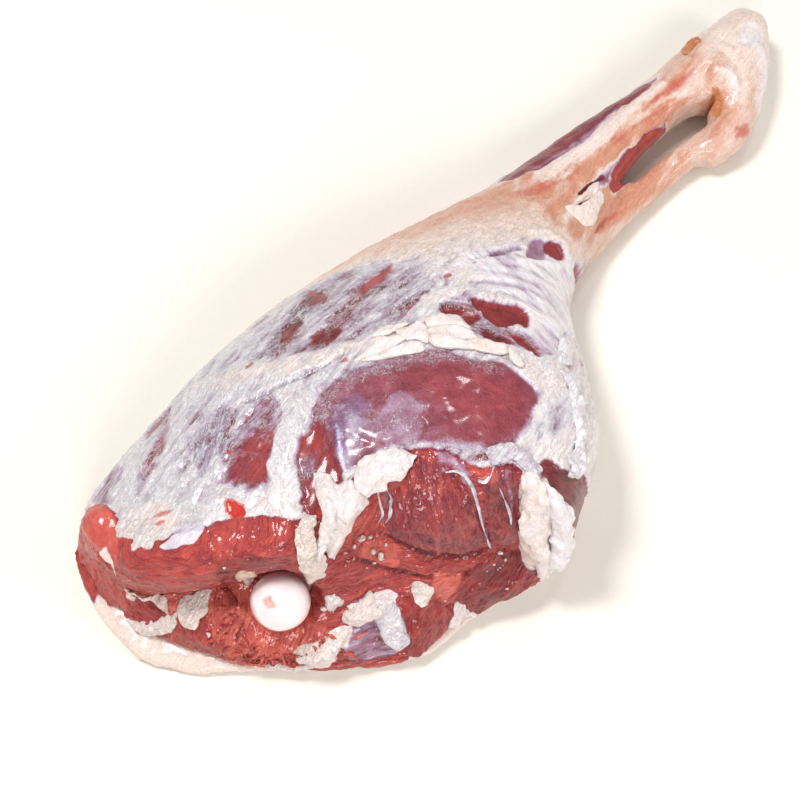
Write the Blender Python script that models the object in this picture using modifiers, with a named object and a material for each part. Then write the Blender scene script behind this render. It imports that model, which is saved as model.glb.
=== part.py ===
"""A raw leg of lamb on the bone, lying on its outer side with the inner side up.

X runs along the leg from the cut end (-X) to the hock (+X), +Y is the knee side and +Z is up.
The origin is under the middle of the whole object, on the surface that it rests on.

Nodes:
  meat       thigh, shank, tendon and hock, one connected piece with the gambrel slot open
  fat_cover  the layer of outer fat that the thigh rests on and that shows below the cut face
  femur      the ball of the hip joint and its neck, seated in the cut face
"""

import math

import bmesh
import bpy
from mathutils import Matrix, Vector

MM = 0.001
GAP = 0.3 * MM  # clearance between neighbouring solids

# ---- driving dimensions, in mm ---------------------------------------------------------------
# The thigh and calf are lofted along X. Each curve lists (x, value) knots.
KNEE_EDGE = [(-260, 92), (-213, 94), (-185, 98), (-158, 95), (-111, 91.5), (-68, 83), (-30, 72),
             (-14, 67), (9, 58), (31, 50), (49, 43), (71, 37), (100, 28)]
HAM_EDGE = [(-260, -105), (-120, -105), (-96, -102), (-77, -97), (-54, -89), (-40, -84), (-29, -75),
            (-13, -61), (1, -47), (11, -39), (22, -31), (40, -26), (60, -24), (100, -17)]
CREST = [(-260, 62), (-206, 68), (-166, 82), (-126, 92), (-86, 94), (-46, 88), (-14, 76),
         (16, 61), (46, 48), (76, 38), (100, 32)]
CREST_LEAN = [(-260, 6), (-166, -10), (-86, -16), (-14, -4), (46, 4), (100, 6)]
SIDE_SHARE = 0.36  # height of the widest point, as a share of the crest
KNEE_FULLNESS = 1.9  # superellipse power of a section above its widest point, knee side
HAM_FULLNESS = 2.35  # the same on the ham side
LOWER_FULLNESS = 3.2  # and below it, where the meat settles flat
LOFT_STEP = 8.0
RING_POINTS = 48

# The cut face is a ruled surface from its foot, at z = 0, to a line at z = FACE_TOP.
FACE_TOP = 90.0
FACE_FOOT = [(-86, -150), (-95, -100), (-121, -87), (-139, -79), (-154, -74), (-172, -68), (-186, -52),
             (-197, -37), (-207, -24), (-219, -6), (-223, 16), (-228, 38), (-232, 52), (-232, 67),
             (-228, 81), (-216, 94), (-196, 130)]
FACE_HEAD = [(-80, -130), (-90, -81), (-94, -67), (-105, -58), (-108, -42), (-111, -36), (-123, -22),
             (-139, -15), (-160, -7), (-164, 12), (-172, 24), (-185, 37), (-192, 45), (-183, 72),
             (-174, 96), (-176, 105), (-180, 130)]

# Shank, tendon and hock: centre (x, y, z), half width across, half height.
SHANK_ROUTE = [(60, 10, 22, 30, 21), (91, 9, 18, 23.5, 17.5), (112, 7, 17, 20, 16.5), (133, 3, 16.5, 17, 16),
               (156, -3.5, 16.5, 15, 15.5), (174, -9, 17, 15, 16), (190, -12, 17.5, 15.5, 16.5)]
TENDON_ROUTE = [(50, -16, 14, 8, 12), (78, -19, 11.5, 7.5, 10), (96, -22, 10, 7.5, 8.5),
                (112, -25, 9.5, 7.5, 8), (130, -29, 9.5, 7, 8), (145, -33, 10.5, 6.5, 8.5),
                (156, -37, 11.5, 7, 9.5)]
HOCK_ROUTE = [(186, -20, 17.5, 23, 17), (206, -21, 18, 22, 17.5), (220, -21, 17.5, 18, 16),
              (230, -19, 17, 13.5, 14.5)]
HEEL_ROUTE = [(150, -42, 12, 8, 10), (164, -44, 13.5, 10.5, 12.5), (178, -42.5, 15, 11, 14),
              (192, -36, 16, 13, 15), (206, -30, 17, 15, 15.5)]
# The gambrel slot between shank bone and tendon: (x, y, half width).
SLOT = [(102, -13.5, 0.6), (110, -14.8, 2.2), (118, -16, 3.2), (134, -18, 4.2), (155, -23.5, 5.0),
        (168, -26.5, 4.0), (177, -30, 0.8)]

# Muscles and fat that swell out of the cut face: centre, radii (along the foot line, up the slope,
# out of the face) and the compass heading of the foot line, in degrees.
LOBES = [
    ((-204, 78, 45), (10, 10, 9), -100),  # stump of the strip muscle at the knee corner
    ((-121, -40, 66), (24, 24, 13), -50),  # big block of the inside round
    ((-100, -68, 58), (13, 20, 10), -60),
    ((-109, -80, 19), (27, 12, 11), -35),  # dark muscle along the ham corner
    ((-160, -48, 16), (27, 12, 10), -48),
    ((-89, -87, 42), (11, 28, 10), -75),  # hanging lobe of fat at the ham corner
    ((-146, -14, 82), (13, 7, 8), -60),  # folded flap of fat over the inside round
    ((-123, -24, 87), (16, 7, 8), -40),
]
HOLLOWS = [
    ((-183, -7, 43), (19, 19, 9), -55),  # dish around the ball
    ((-150, -44, 36), (24, 4, 8), -48),  # seam under the inside round
]
FACE_LEAN = 32.0  # degrees between the face and upright
# The same as rounded strands: (x, y, z, radius) along each.
FRONT_BAND = [(-204, 80, 26, 11), (-204, 66, 36, 14), (-200, 48, 48, 15), (-188, 28, 59, 14.5),
              (-175, 9, 68, 12), (-165, -6, 74, 9)]  # the thick muscle across the front of the thigh
LOWER_BAND = [(-212, 42, 13, 8), (-209, 22, 15, 10), (-200, 0, 16, 11), (-188, -22, 16, 10),
              (-176, -38, 17, 8)]  # the muscle under the ball
SEAM = [(-219, 52, 27, 4), (-215, 40, 30, 6), (-206, 26, 36, 6.5), (-195, 12, 42, 7.5),
        (-186, 2, 46, 9)]  # the open gap between the two bands

# Outer fat: the layer the thigh rests on. Its cut edge stands proud of the meat below the face.
FAT_THICKNESS = 7.5
FAT_RIM_RISE = 12.0  # how much higher the layer climbs at its edge than in its middle
FAT_END_X = 20.0  # the layer ends under the knee
FAT_END_SHARE = 0.45  # its thickness there, as a share of the full one
FAT_FOOT = [(-80, -150), (-91, -102), (-117, -86), (-138, -78), (-160, -71), (-172, -62), (-184, -47),
            (-196, -33), (-203, -22), (-216, -6), (-226, 10), (-235, 28), (-238, 40), (-235, 58),
            (-227, 79), (-215, 95), (-196, 130)]
FAT_LEAN = 3.0  # how far the fat's edge leans back over FACE_TOP

BALL_CENTRE = (-186, -8.5, 44)
BALL_RADIUS = 13.5
BALL_SIDES = 32
NECK_DIRECTION = (0.8, 0.2, -0.45)
NECK_LENGTH = 32.0
NECK_RADIUS = 8.5
PIT_RADIUS = 4.5  # the small pit that the round ligament leaves in the ball
PIT_DEPTH = 1.3
PIT_DIRECTION = (-0.80, 0.10, 0.59)

VOXEL = 3.0
SMOOTH_PASSES = 5
MEAT_TRIANGLES = 6200
FAT_TRIANGLES = 3600  # of the whole leg's skin that the layer is cut from


# ---- small tools -----------------------------------------------------------------------------
def through(knots):
    """A smooth function through (x, value) knots: a cubic Hermite curve with averaged slopes."""
    slopes = []
    for i in range(len(knots)):
        low, high = max(i - 1, 0), min(i + 1, len(knots) - 1)
        slopes.append((knots[high][1] - knots[low][1]) / (knots[high][0] - knots[low][0]))

    def value(x):
        x = min(max(x, knots[0][0]), knots[-1][0])
        i = max(k for k in range(len(knots) - 1) if knots[k][0] <= x or k == 0)
        (x0, v0), (x1, v1) = knots[i], knots[i + 1]
        span = x1 - x0
        t = (x - x0) / span
        return ((2 * t**3 - 3 * t**2 + 1) * v0 + (t**3 - 2 * t**2 + t) * span * slopes[i]
                + (3 * t**2 - 2 * t**3) * v1 + (t**3 - t**2) * span * slopes[i + 1])

    return value


def power(value, exponent):
    """A power that keeps the sign of its base."""
    return math.copysign(abs(value) ** exponent, value)


def material(name, colour, roughness):
    made = bpy.data.materials.new(name)
    made.use_nodes = True
    shader = made.node_tree.nodes["Principled BSDF"]
    shader.inputs["Base Color"].default_value = (*colour, 1)
    shader.inputs["Roughness"].default_value = roughness
    shader.inputs["Metallic"].default_value = 0
    return made


def new_object(name, bm, collection, surface=None):
    bmesh.ops.recalc_face_normals(bm, faces=bm.faces)
    mesh = bpy.data.meshes.new(name)
    bm.to_mesh(mesh)
    bm.free()
    made = bpy.data.objects.new(name, mesh)
    collection.objects.link(made)
    if surface:
        mesh.materials.append(surface)
    return made


def loft(bm, rings):
    """Skins a list of equal rings of points and caps both ends."""
    loops = [[bm.verts.new(Vector(point) * MM) for point in ring] for ring in rings]
    count = len(loops[0])
    for first, second in zip(loops, loops[1:]):
        for i in range(count):
            j = (i + 1) % count
            bm.faces.new((first[i], first[j], second[j], second[i]))
    bm.faces.new(loops[0])
    bm.faces.new(loops[-1])


def apply_modifiers(obj):
    """Replaces the object's mesh with the result of its modifiers."""
    bpy.context.view_layer.update()
    graph = bpy.context.evaluated_depsgraph_get()
    made = bpy.data.meshes.new_from_object(obj.evaluated_get(graph))
    obj.modifiers.clear()
    obj.data = made


def boolean(obj, cutter, operation):
    step = obj.modifiers.new(operation.title(), "BOOLEAN")
    step.operation = operation
    step.solver = "EXACT"
    step.object = cutter


def even_out(obj, voxel):
    """Fuses overlapping closed shapes into one even skin."""
    step = obj.modifiers.new("Fuse", "REMESH")
    step.mode = "VOXEL"
    step.voxel_size = voxel * MM


def soften(obj, passes):
    step = obj.modifiers.new("Soften", "SMOOTH")
    step.factor = 0.5
    step.iterations = passes


def thin_out(obj, triangles):
    """Brings a mesh down to about this many triangles."""
    step = obj.modifiers.new("Thin", "DECIMATE")
    step.ratio = triangles / (2 * len(obj.data.polygons))
    step.use_collapse_triangulate = True


# ---- the shape of the leg --------------------------------------------------------------------
def section(x, knee_edge, ham_edge, crest, lean):
    """One ring of the thigh: a superellipse, fuller below, whose crest leans sideways."""
    left, right, top = knee_edge(x), ham_edge(x), crest(x)
    middle, half = (left + right) / 2, (left - right) / 2
    side = SIDE_SHARE * top
    ring = []
    for i in range(RING_POINTS):
        angle = 2 * math.pi * i / RING_POINTS
        if math.sin(angle) <= 0:
            fullness = LOWER_FULLNESS
        elif math.cos(angle) > 0:
            fullness = KNEE_FULLNESS
        else:
            fullness = HAM_FULLNESS
        across = power(math.cos(angle), 2 / fullness)
        up = power(math.sin(angle), 2 / fullness)
        z = side + (top - side) * up if up > 0 else side + side * up
        ring.append((x, middle + half * across + lean(x) * max(up, 0) ** 2, z))
    return ring


def add_thigh(bm):
    curves = [through(knots) for knots in (KNEE_EDGE, HAM_EDGE, CREST, CREST_LEAN)]
    first, last = KNEE_EDGE[0][0], KNEE_EDGE[-1][0]
    count = round((last - first) / LOFT_STEP)
    loft(bm, [section(first + (last - first) * i / count, *curves) for i in range(count + 1)])


def add_limb(bm, route, ring_points=24, steps=6):
    """A rounded limb along a route of (x, y, z, half width, half height), with domed ends."""
    spread = [through([(row[0], row[k]) for row in route]) for k in range(1, 5)]
    start, end = route[0][0], route[-1][0]
    count = steps * (len(route) - 1)
    rings = []
    for i in range(-steps, count + steps + 1):
        x = start + (end - start) * min(max(i / count, 0), 1)
        y, z, half_width, half_height = (f(x) for f in spread)
        beyond = max(-i, i - count, 0) / (steps + 0.5)
        shrink = math.sqrt(1 - beyond**2)
        x += math.copysign(0.75 * half_width, i) * beyond
        rings.append([
            (x, y + half_width * shrink * math.cos(a), z + half_height * shrink * math.sin(a))
            for a in (2 * math.pi * k / ring_points for k in range(ring_points))
        ])
    loft(bm, rings)


def add_swelling(bm, centre, radii, heading):
    """An ellipsoid set square to the leaning cut face."""
    h, lean = math.radians(heading), math.radians(FACE_LEAN)
    along = Vector((math.cos(h), math.sin(h), 0))
    inward = Vector((-math.sin(h), math.cos(h), 0))
    slope = inward * math.sin(lean) + Vector((0, 0, math.cos(lean)))
    out = Vector((0, 0, math.sin(lean))) - inward * math.cos(lean)
    turn = Matrix((along, slope, out)).transposed().to_4x4()
    size = Matrix.Diagonal((*radii, 1))
    place = Matrix.Scale(MM, 4) @ Matrix.Translation(centre) @ turn @ size
    bmesh.ops.create_icosphere(bm, subdivisions=4, radius=1, matrix=place)


def add_strand(bm, path, steps=8):
    """A rounded strand along (x, y, z, radius) knots, laid as close overlapping balls."""
    spread = [through([(i, row[k]) for i, row in enumerate(path)]) for k in range(4)]
    for i in range(steps * (len(path) - 1) + 1):
        x, y, z, radius = (f(i / steps) for f in spread)
        place = Matrix.Scale(MM, 4) @ Matrix.Translation((x, y, z))
        bmesh.ops.create_icosphere(bm, subdivisions=3, radius=radius, matrix=place)


def swellings(name, rows, strands, collection):
    bm = bmesh.new()
    for centre, radii, heading in rows:
        add_swelling(bm, centre, radii, heading)
    for path in strands:
        add_strand(bm, path)
    made = new_object(name, bm, collection)
    even_out(made, VOXEL / 2)
    return made


def wall_cutter(name, foot, head, collection):
    """Everything beyond a wall that rises from the foot line to the head line, run on past both."""
    far = [(-330, 130), (-330, -150)]
    rings = []
    for z in (-20.0, 130.0):
        share = z / FACE_TOP
        rings.append([
            (fx + (hx - fx) * share, fy + (hy - fy) * share, z)
            for (fx, fy), (hx, hy) in zip(foot, head)
        ] + [(x, y, z) for x, y in far])
    bm = bmesh.new()
    loft(bm, rings)
    return new_object(name, bm, collection)


def layer_cutter(name, lift, collection):
    """Everything under the top of the fat layer, raised by lift: a long shallow dish."""
    knee_edge, ham_edge = through(KNEE_EDGE), through(HAM_EDGE)
    across = [-1.25, -1, -0.9, -0.75, -0.5, -0.2, 0.2, 0.5, 0.75, 0.9, 1, 1.25]
    start, fade = -270.0, 60.0
    rings = []
    for i in range(15):
        x = start + (FAT_END_X + lift - start) * i / 14
        left, right = knee_edge(x), ham_edge(x)
        thin = 1 - (1 - FAT_END_SHARE) * max(0, 1 - (FAT_END_X - x) / fade) ** 2
        top = []
        for u in across:
            rise = FAT_RIM_RISE * min(abs(u), 1.1) ** 6
            top.append((x, (left + right) / 2 + (left - right) / 2 * u, (FAT_THICKNESS + rise) * thin + lift))
        rings.append(top + [(x, top[-1][1], -20), (x, top[0][1], -20)])
    bm = bmesh.new()
    loft(bm, rings)
    return new_object(name, bm, collection)


def slot_cutter(collection):
    """An upright prism with the outline of the gambrel slot."""
    side = [(x, y + w) for x, y, w in SLOT] + [(x, y - w) for x, y, w in reversed(SLOT)]
    bm = bmesh.new()
    loft(bm, [[(x, y, z) for x, y in side] for z in (-20, 60)])
    return new_object("slot_cutter", bm, collection)


# ---- the ball of the hip joint -----------------------------------------------------------------
def ball_and_neck(name, extra, collection):
    """The ball with its neck, every radius grown by extra."""
    bm = bmesh.new()
    place = Matrix.Scale(MM, 4) @ Matrix.Translation(BALL_CENTRE)
    bmesh.ops.create_uvsphere(bm, u_segments=BALL_SIDES, v_segments=BALL_SIDES // 2,
                              radius=BALL_RADIUS + extra, matrix=place)
    ball = new_object(name, bm, collection)
    neck_bm = bmesh.new()
    aim = Vector(NECK_DIRECTION).normalized()
    length = NECK_LENGTH + extra
    middle = Vector(BALL_CENTRE) + aim * length / 2
    turn = aim.to_track_quat("Z", "Y").to_matrix().to_4x4()
    place = Matrix.Scale(MM, 4) @ Matrix.Translation(middle) @ turn
    bmesh.ops.create_cone(neck_bm, cap_ends=True, segments=BALL_SIDES * 3 // 4, radius1=NECK_RADIUS + extra,
                          radius2=NECK_RADIUS * 1.15 + extra, depth=length, matrix=place)
    neck = new_object(name + "_neck", neck_bm, collection)
    boolean(ball, neck, "UNION")
    return ball


def femur(parts, cutters):
    bone = ball_and_neck("femur", 0, cutters)
    bm = bmesh.new()
    far = BALL_RADIUS + PIT_RADIUS - PIT_DEPTH
    spot = Vector(BALL_CENTRE) + Vector(PIT_DIRECTION).normalized() * far
    bmesh.ops.create_icosphere(bm, subdivisions=3, radius=PIT_RADIUS,
                               matrix=Matrix.Scale(MM, 4) @ Matrix.Translation(spot))
    boolean(bone, new_object("pit_cutter", bm, cutters), "DIFFERENCE")
    apply_modifiers(bone)
    return finish(bone, "femur", material("bone", (0.86, 0.78, 0.72), 0.35), parts, cutters)


# ---- assembly ----------------------------------------------------------------------------------
def copy_of(obj, name, collection):
    made = bpy.data.objects.new(name, obj.data.copy())
    collection.objects.link(made)
    return made


def finish(obj, name, surface, parts, cutters):
    """Names a finished solid, gives it its material and moves it among the parts."""
    obj.name = name
    obj.data.materials.clear()
    obj.data.materials.append(surface)
    cutters.objects.unlink(obj)
    parts.objects.link(obj)
    return obj


def whole_skin(cutters):
    """Thigh, shank, tendon and hock fused, before the cut."""
    bm = bmesh.new()
    add_thigh(bm)
    for route in (SHANK_ROUTE, TENDON_ROUTE, HOCK_ROUTE, HEEL_ROUTE):
        add_limb(bm, route)
    skin = new_object("whole_skin", bm, cutters)
    even_out(skin, VOXEL)
    apply_modifiers(skin)
    return skin


def meat(skin, parts, cutters):
    body = copy_of(skin, "meat_body", cutters)
    boolean(body, wall_cutter("face_wall", FACE_FOOT, FACE_HEAD, cutters), "DIFFERENCE")
    boolean(body, swellings("lobes", LOBES, (FRONT_BAND, LOWER_BAND), cutters), "UNION")
    boolean(body, swellings("hollows", HOLLOWS, (SEAM,), cutters), "DIFFERENCE")
    even_out(body, VOXEL)
    soften(body, SMOOTH_PASSES)
    apply_modifiers(body)
    thin_out(body, MEAT_TRIANGLES)
    boolean(body, layer_cutter("layer_clearance", GAP / MM, cutters), "DIFFERENCE")
    boolean(body, slot_cutter(cutters), "DIFFERENCE")
    boolean(body, ball_and_neck("socket", GAP / MM, cutters), "DIFFERENCE")
    apply_modifiers(body)
    return finish(body, "meat", material("meat", (0.45, 0.09, 0.10), 0.45), parts, cutters)


def fat_cover(skin, parts, cutters):
    layer = copy_of(skin, "fat_body", cutters)
    soften(layer, SMOOTH_PASSES)
    thin_out(layer, FAT_TRIANGLES)
    boolean(layer, layer_cutter("layer_dish", 0, cutters), "INTERSECT")
    head = [(x + FAT_LEAN, y + FAT_LEAN) for x, y in FAT_FOOT]
    boolean(layer, wall_cutter("fat_wall", FAT_FOOT, head, cutters), "DIFFERENCE")
    apply_modifiers(layer)
    return finish(layer, "fat_cover", material("fat", (0.85, 0.76, 0.62), 0.5), parts, cutters)


def centre_on_origin(parts):
    """Slides the finished solids together so that their box stands on the middle of the origin."""
    corners = [vertex.co for obj in parts.objects for vertex in obj.data.vertices]
    low, high = (Vector([pick(c[k] for c in corners) for k in range(3)]) for pick in (min, max))
    shift = Vector(((low.x + high.x) / 2, (low.y + high.y) / 2, low.z))
    for obj in parts.objects:
        obj.data.transform(Matrix.Translation(-shift))


def clear_scene():
    for obj in list(bpy.data.objects):
        bpy.data.objects.remove(obj)


def main():
    clear_scene()
    parts = bpy.data.collections.new("leg_of_lamb")
    cutters = bpy.data.collections.new("cutters")
    for collection in (parts, cutters):
        bpy.context.scene.collection.children.link(collection)
    skin = whole_skin(cutters)
    meat(skin, parts, cutters)
    fat_cover(skin, parts, cutters)
    femur(parts, cutters)
    centre_on_origin(parts)
    for helper in cutters.objects:
        helper.hide_render = True
        helper.display_type = "WIRE"


main()
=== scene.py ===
"""The looks of the raw leg of lamb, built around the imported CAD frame.

The three CAD solids are replaced by dense copies of themselves. The meat and the fat carry fields, one
number for each vertex, which say how much white film or fat covers the muscle there, how bright the muscle
is and how the fat is stained. Outlines in mm say where those fields change: on the upper side in plan, on the
cut by distance along it and height. The same fields drive the relief of the mesh and the colours of the
material. Flaps, strands, fibres and crumbs are separate pieces laid on the leg.
"""

import math

import bmesh
import bpy
import numpy as np
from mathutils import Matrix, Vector, noise
from mathutils.bvhtree import BVHTree


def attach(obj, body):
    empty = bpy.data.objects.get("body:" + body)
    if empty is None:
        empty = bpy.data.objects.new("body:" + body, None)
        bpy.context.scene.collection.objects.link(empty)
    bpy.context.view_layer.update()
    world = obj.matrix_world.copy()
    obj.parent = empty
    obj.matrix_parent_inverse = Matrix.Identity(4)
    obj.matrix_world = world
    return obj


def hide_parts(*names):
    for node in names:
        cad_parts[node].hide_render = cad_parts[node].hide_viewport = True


MM = 0.001
FIELDS = ("cover", "tone", "warm", "blush", "amber", "frost", "sleek")
FAR_AWAY = 1e9  # mm, where the nearest thing isn't found yet

# ---- the cut face: a wall between two lines in plan, as in the CAD model ----
FACE_TOP = 90.0  # mm, the height of the head line above the foot line
CENTRING = (-0.5, 1.3)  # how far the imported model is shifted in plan
FACE_END = -60.0  # the whole cut is at lower x than this
FACE_REACH = 60.0  # distances behind the cut are measured up to this
FACE_FOOT = [(-86, -150), (-95, -100), (-121, -87), (-139, -79), (-154, -74), (-172, -68), (-186, -52),
             (-197, -37), (-207, -24), (-219, -6), (-223, 16), (-228, 38), (-232, 52), (-232, 67),
             (-228, 81), (-216, 94), (-196, 130)]
FACE_HEAD = [(-80, -130), (-90, -81), (-94, -67), (-105, -58), (-108, -42), (-111, -36), (-123, -22),
             (-139, -15), (-160, -7), (-164, 12), (-172, 24), (-185, 37), (-192, 45), (-183, 72),
             (-174, 96), (-176, 105), (-180, 130)]
FACE_CORNER = (-228.5, 82.4)  # the knee corner, where distance along the cut starts
FACE_RUN = (0.592, -0.806)  # the way the cut runs, in plan

# ---- outlines on the upper side, in plan ----
OVAL = [(-126, 14), (-116, 23), (-100, 21), (-84, 10), (-66, -5), (-60, -23), (-53, -33), (-54, -45),
        (-58, -56), (-74, -58), (-90, -60), (-98, -43), (-108, -27), (-121, -14), (-134, -7), (-131, 5)]
OVAL_RED = [(-96, 10), (-78, -6), (-66, -20), (-58, -36), (-58, -52), (-76, -54), (-90, -50), (-92, -30),
            (-86, -12)]
OVAL_RIM = [(-124, 14, 2), (-112, 19, 3), (-96, 15, 3.5), (-80, 3, 3.5), (-68, -9, 3), (-61, -24, 3),
            (-57, -36, 2)]
OVAL_FILM = [(-114, 1), (-110, -5), (-103, -5), (-93, -5), (-92, -12), (-92, -19), (-98, -20), (-100, -24),
             (-109, -24), (-113, -21), (-117, -15), (-118, -6)]
OVAL_VIOLET = [(-114, 13), (-108, 12), (-103, 9), (-103, 5), (-106, -1), (-115, 2), (-126, 3), (-123, 8),
               (-119, 12)]
FILM_EDGE = [(-119, 8, 0.3), (-123, 4, 0.7), (-129, -1, 0.8), (-134, -6, 0.6), (-137, -9, 0.4)]
# a patch of the lilac film, painted whiter and bluer as a highlight
OVAL_WHITE_GLINT = [(-113, 9), (-111, 1), (-120, -7), (-133, -8), (-134, 0), (-125, 4)]
POCKET = [(-122, 16), (-127, 7), (-133, -1), (-138, -9), (-143, -6), (-148, -4), (-158, -6), (-156, 1),
          (-149, 7), (-141, 15), (-131, 19)]
POCKET_SHEEN = [(-140, 13), (-136, 9), (-141, 5), (-146, 5), (-146, 9)]
KNEE_STREAKS = [(-106, 72), (-84, 78), (-58, 72), (-34, 50), (-26, 24), (-40, 14), (-62, 20), (-88, 30),
                (-108, 46)]
KNEE_SPOTS = [
    [(-59, 68), (-58, 62), (-62, 56), (-67, 57), (-71, 62), (-67, 66)],
    [(-82, 46), (-78, 42), (-77, 35), (-83, 36), (-88, 41), (-87, 46)],
    [(-87, 63), (-80, 60), (-82, 56), (-90, 57), (-95, 60)],
]
KNEE_GREY = [(-54, 48), (-44, 39), (-37, 21), (-52, 14), (-69, 20), (-83, 27), (-78, 35)]
FLANK_BLUE = [(-138, 62), (-134, 54), (-142, 46), (-153, 43), (-163, 49), (-161, 60), (-150, 66)]
FLANK_PURPLE = [(-124, 46), (-120, 38), (-133, 31), (-146, 24), (-154, 20), (-161, 25), (-164, 32),
                (-164, 40), (-154, 46), (-139, 48)]
FLANK_RED = [(-144, 37), (-139, 35), (-138, 30), (-144, 25), (-152, 20), (-157, 21), (-159, 29), (-159, 35),
             (-152, 37)]
FLANK_FROST = [(-112, 76), (-118, 60), (-128, 52), (-140, 66), (-158, 66), (-176, 58), (-182, 72), (-166, 84),
               (-140, 88)]
FRONT_CREAM = [(-200, 72), (-190, 66), (-184, 52), (-190, 42), (-202, 50), (-206, 63)]
FRONT_LILAC = [(-203, 49), (-191, 43), (-182, 31), (-186, 25), (-196, 33), (-205, 43)]
BLOOD = [(-170, 30), (-167, 26), (-169, 23), (-173, 19), (-176, 22), (-175, 25)]
VEIL = [(-183, 36), (-176, 37), (-171, 34), (-174, 30), (-178, 26), (-184, 27), (-186, 31)]
LEFT_LILAC = [(-195, 95), (-184, 97), (-176, 93), (-178, 86), (-190, 85), (-201, 82)]
CORNER_FROST = [(-206, 92), (-192, 82), (-168, 76), (-150, 88), (-160, 100), (-200, 100)]
FLECKS = [(-111, 62, 1.5), (-151, 44, 1.1), (-91, 24, 0.8), (-51, 16, 0.8), (-117, 51, 0.5), (-24, 13, 0.6),
          (5, 14, 0.6), (-9, 8, 0.5)]
FASCIA = [(-14, 16), (10, 4), (30, -12), (36, -30), (10, -44), (-30, -48), (-38, -36), (-22, -30), (-18, -18)]
WINDOW = [(-32, -4), (-29, -6), (-25, -13), (-21, -19), (-19, -23), (-21, -28), (-27, -31), (-30, -27),
          (-36, -22), (-35, -12)]
WINDOW_FILM = [(-41, 7), (-33, -4), (-36, -12), (-36, -22), (-32, -30), (-33, -39), (-36, -45), (-41, -34),
               (-47, -26), (-47, -12), (-48, 0)]
WINDOW_SPOTS = [
    [(-44, -7), (-40, -7), (-37, -11), (-41, -13), (-45, -11)],
    [(-44, -18), (-42, -21), (-40, -27), (-40, -31), (-43, -30), (-45, -23)],
    [(-36, -27), (-35, -33), (-35, -39), (-37, -44), (-38, -38), (-37, -31)],
    [(-44, 5), (-40, 1), (-38, -5), (-43, -4), (-46, 1)],
]
SMALL_WINDOW = [(32, -8), (36, -9), (38, -14), (35, -18), (29, -16), (27, -12)]
SMALL_LILAC = [(19, -4), (27, -2), (33, -5), (33, -8), (28, -11), (19, -12), (14, -7)]
PETALS = [  # overlapping flakes of fat along the oval, from the lowest to the top one
    [(-90, 21), (-83, 19), (-77, 18), (-74, 18), (-68, 10), (-69, 7), (-79, 11), (-86, 17)],
    [(-88, 18), (-83, 15), (-74, 9), (-68, 4), (-66, -1), (-69, -3), (-74, 1), (-83, 11)],
    [(-75, 21), (-70, 21), (-65, 17), (-60, 11), (-67, 13), (-72, 16)],
    [(-67, 14), (-60, 9), (-57, 9), (-57, 5), (-60, 0), (-65, -2), (-67, 3), (-69, 8)],
    [(-55, 6), (-48, 2), (-44, -3), (-45, -9), (-47, -14), (-51, -7), (-57, 1), (-57, 4)],
    [(-58, 2), (-53, -3), (-49, -9), (-48, -15), (-50, -19), (-55, -13), (-60, -5), (-61, -1)],
    [(-61, -1), (-58, -6), (-54, -15), (-49, -20), (-45, -29), (-47, -34), (-51, -30), (-57, -19), (-65, -6)],
    [(-45, -32), (-46, -38), (-48, -42), (-51, -41), (-50, -36)],
]
CREAM_FRINGE = [(-199, 70), (-195, 60), (-193, 50), (-194, 45), (-199, 45), (-204, 49), (-208, 55),
                (-204, 60), (-206, 67)]
LILAC_SHEET = [(-185, 35), (-189, 40), (-197, 43), (-202, 45), (-200, 39), (-196, 35), (-192, 31), (-186, 31)]
FASCIA_ENDS = [  # where the smooth skin ends above the tendons
    [(60, -2), (66, -6), (74, -8), (85, -9), (83, -13), (76, -15), (66, -17), (60, -14)],
    [(68, -4), (77, -4), (84, -4), (89, -6), (84, -9), (77, -8), (71, -6)],
]
SHANK_MUSCLE = [(56, 34), (76, 40), (110, 34), (140, 24), (165, 10), (166, 2), (149, 4), (133, 9), (121, 11),
                (106, 12), (88, 17), (72, 23)]
SHANK_SALMON = [(78, 8), (100, 5), (125, -1), (150, -7), (174, -12), (163, -15), (146, -12), (124, -7),
                (101, -3), (84, 1)]
TENDON_RECESS = [(65, -19), (80, -16), (98, -16), (105, -20), (92, -23), (78, -21)]
# round the end of the slot: painted warm shade, amber
SLOT_WARM_SHADE = [(168, -22), (177, -25), (179, -32), (172, -37), (163, -36), (168, -29)]
HOCK_HOLLOW = [(206, -24), (216, -18), (225, -24), (220, -32), (210, -32)]
SIDE_MUSCLE = [(-83, -73), (-76, -80), (-71, -86), (-66, -92), (-66, -102), (-92, -104), (-90, -88),
               (-86, -80)]

# ---- outlines on the cut face: distance along it, height ----
FACE_HOLLOW = [(22, 10), (22, 28), (36, 30), (56, 34), (70, 44), (82, 58), (100, 66), (125, 66), (138, 45),
               (125, 14), (80, 7), (40, 6)]
KNEE_NUB = [(10, 49), (16, 56), (22, 55), (27, 54), (25, 49), (19, 45), (13, 46)]
KNEE_SKIN = [(-8, 22), (-8, 62), (12, 48), (19, 40), (20, 27), (27, 24), (26, 14), (14, 12), (6, 16)]
RIM_MEAT = [(100, 12), (118, 12), (140, 10), (152, 10), (150, 3), (118, 4), (104, 6)]
FRONT_MUSCLE = [(24, 45), (28, 55), (45, 66), (56, 71), (75, 77), (86, 79), (103, 83), (108, 76), (107, 66),
                (96, 62), (84, 57), (72, 40), (61, 33), (46, 26), (36, 25), (26, 28)]
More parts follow.
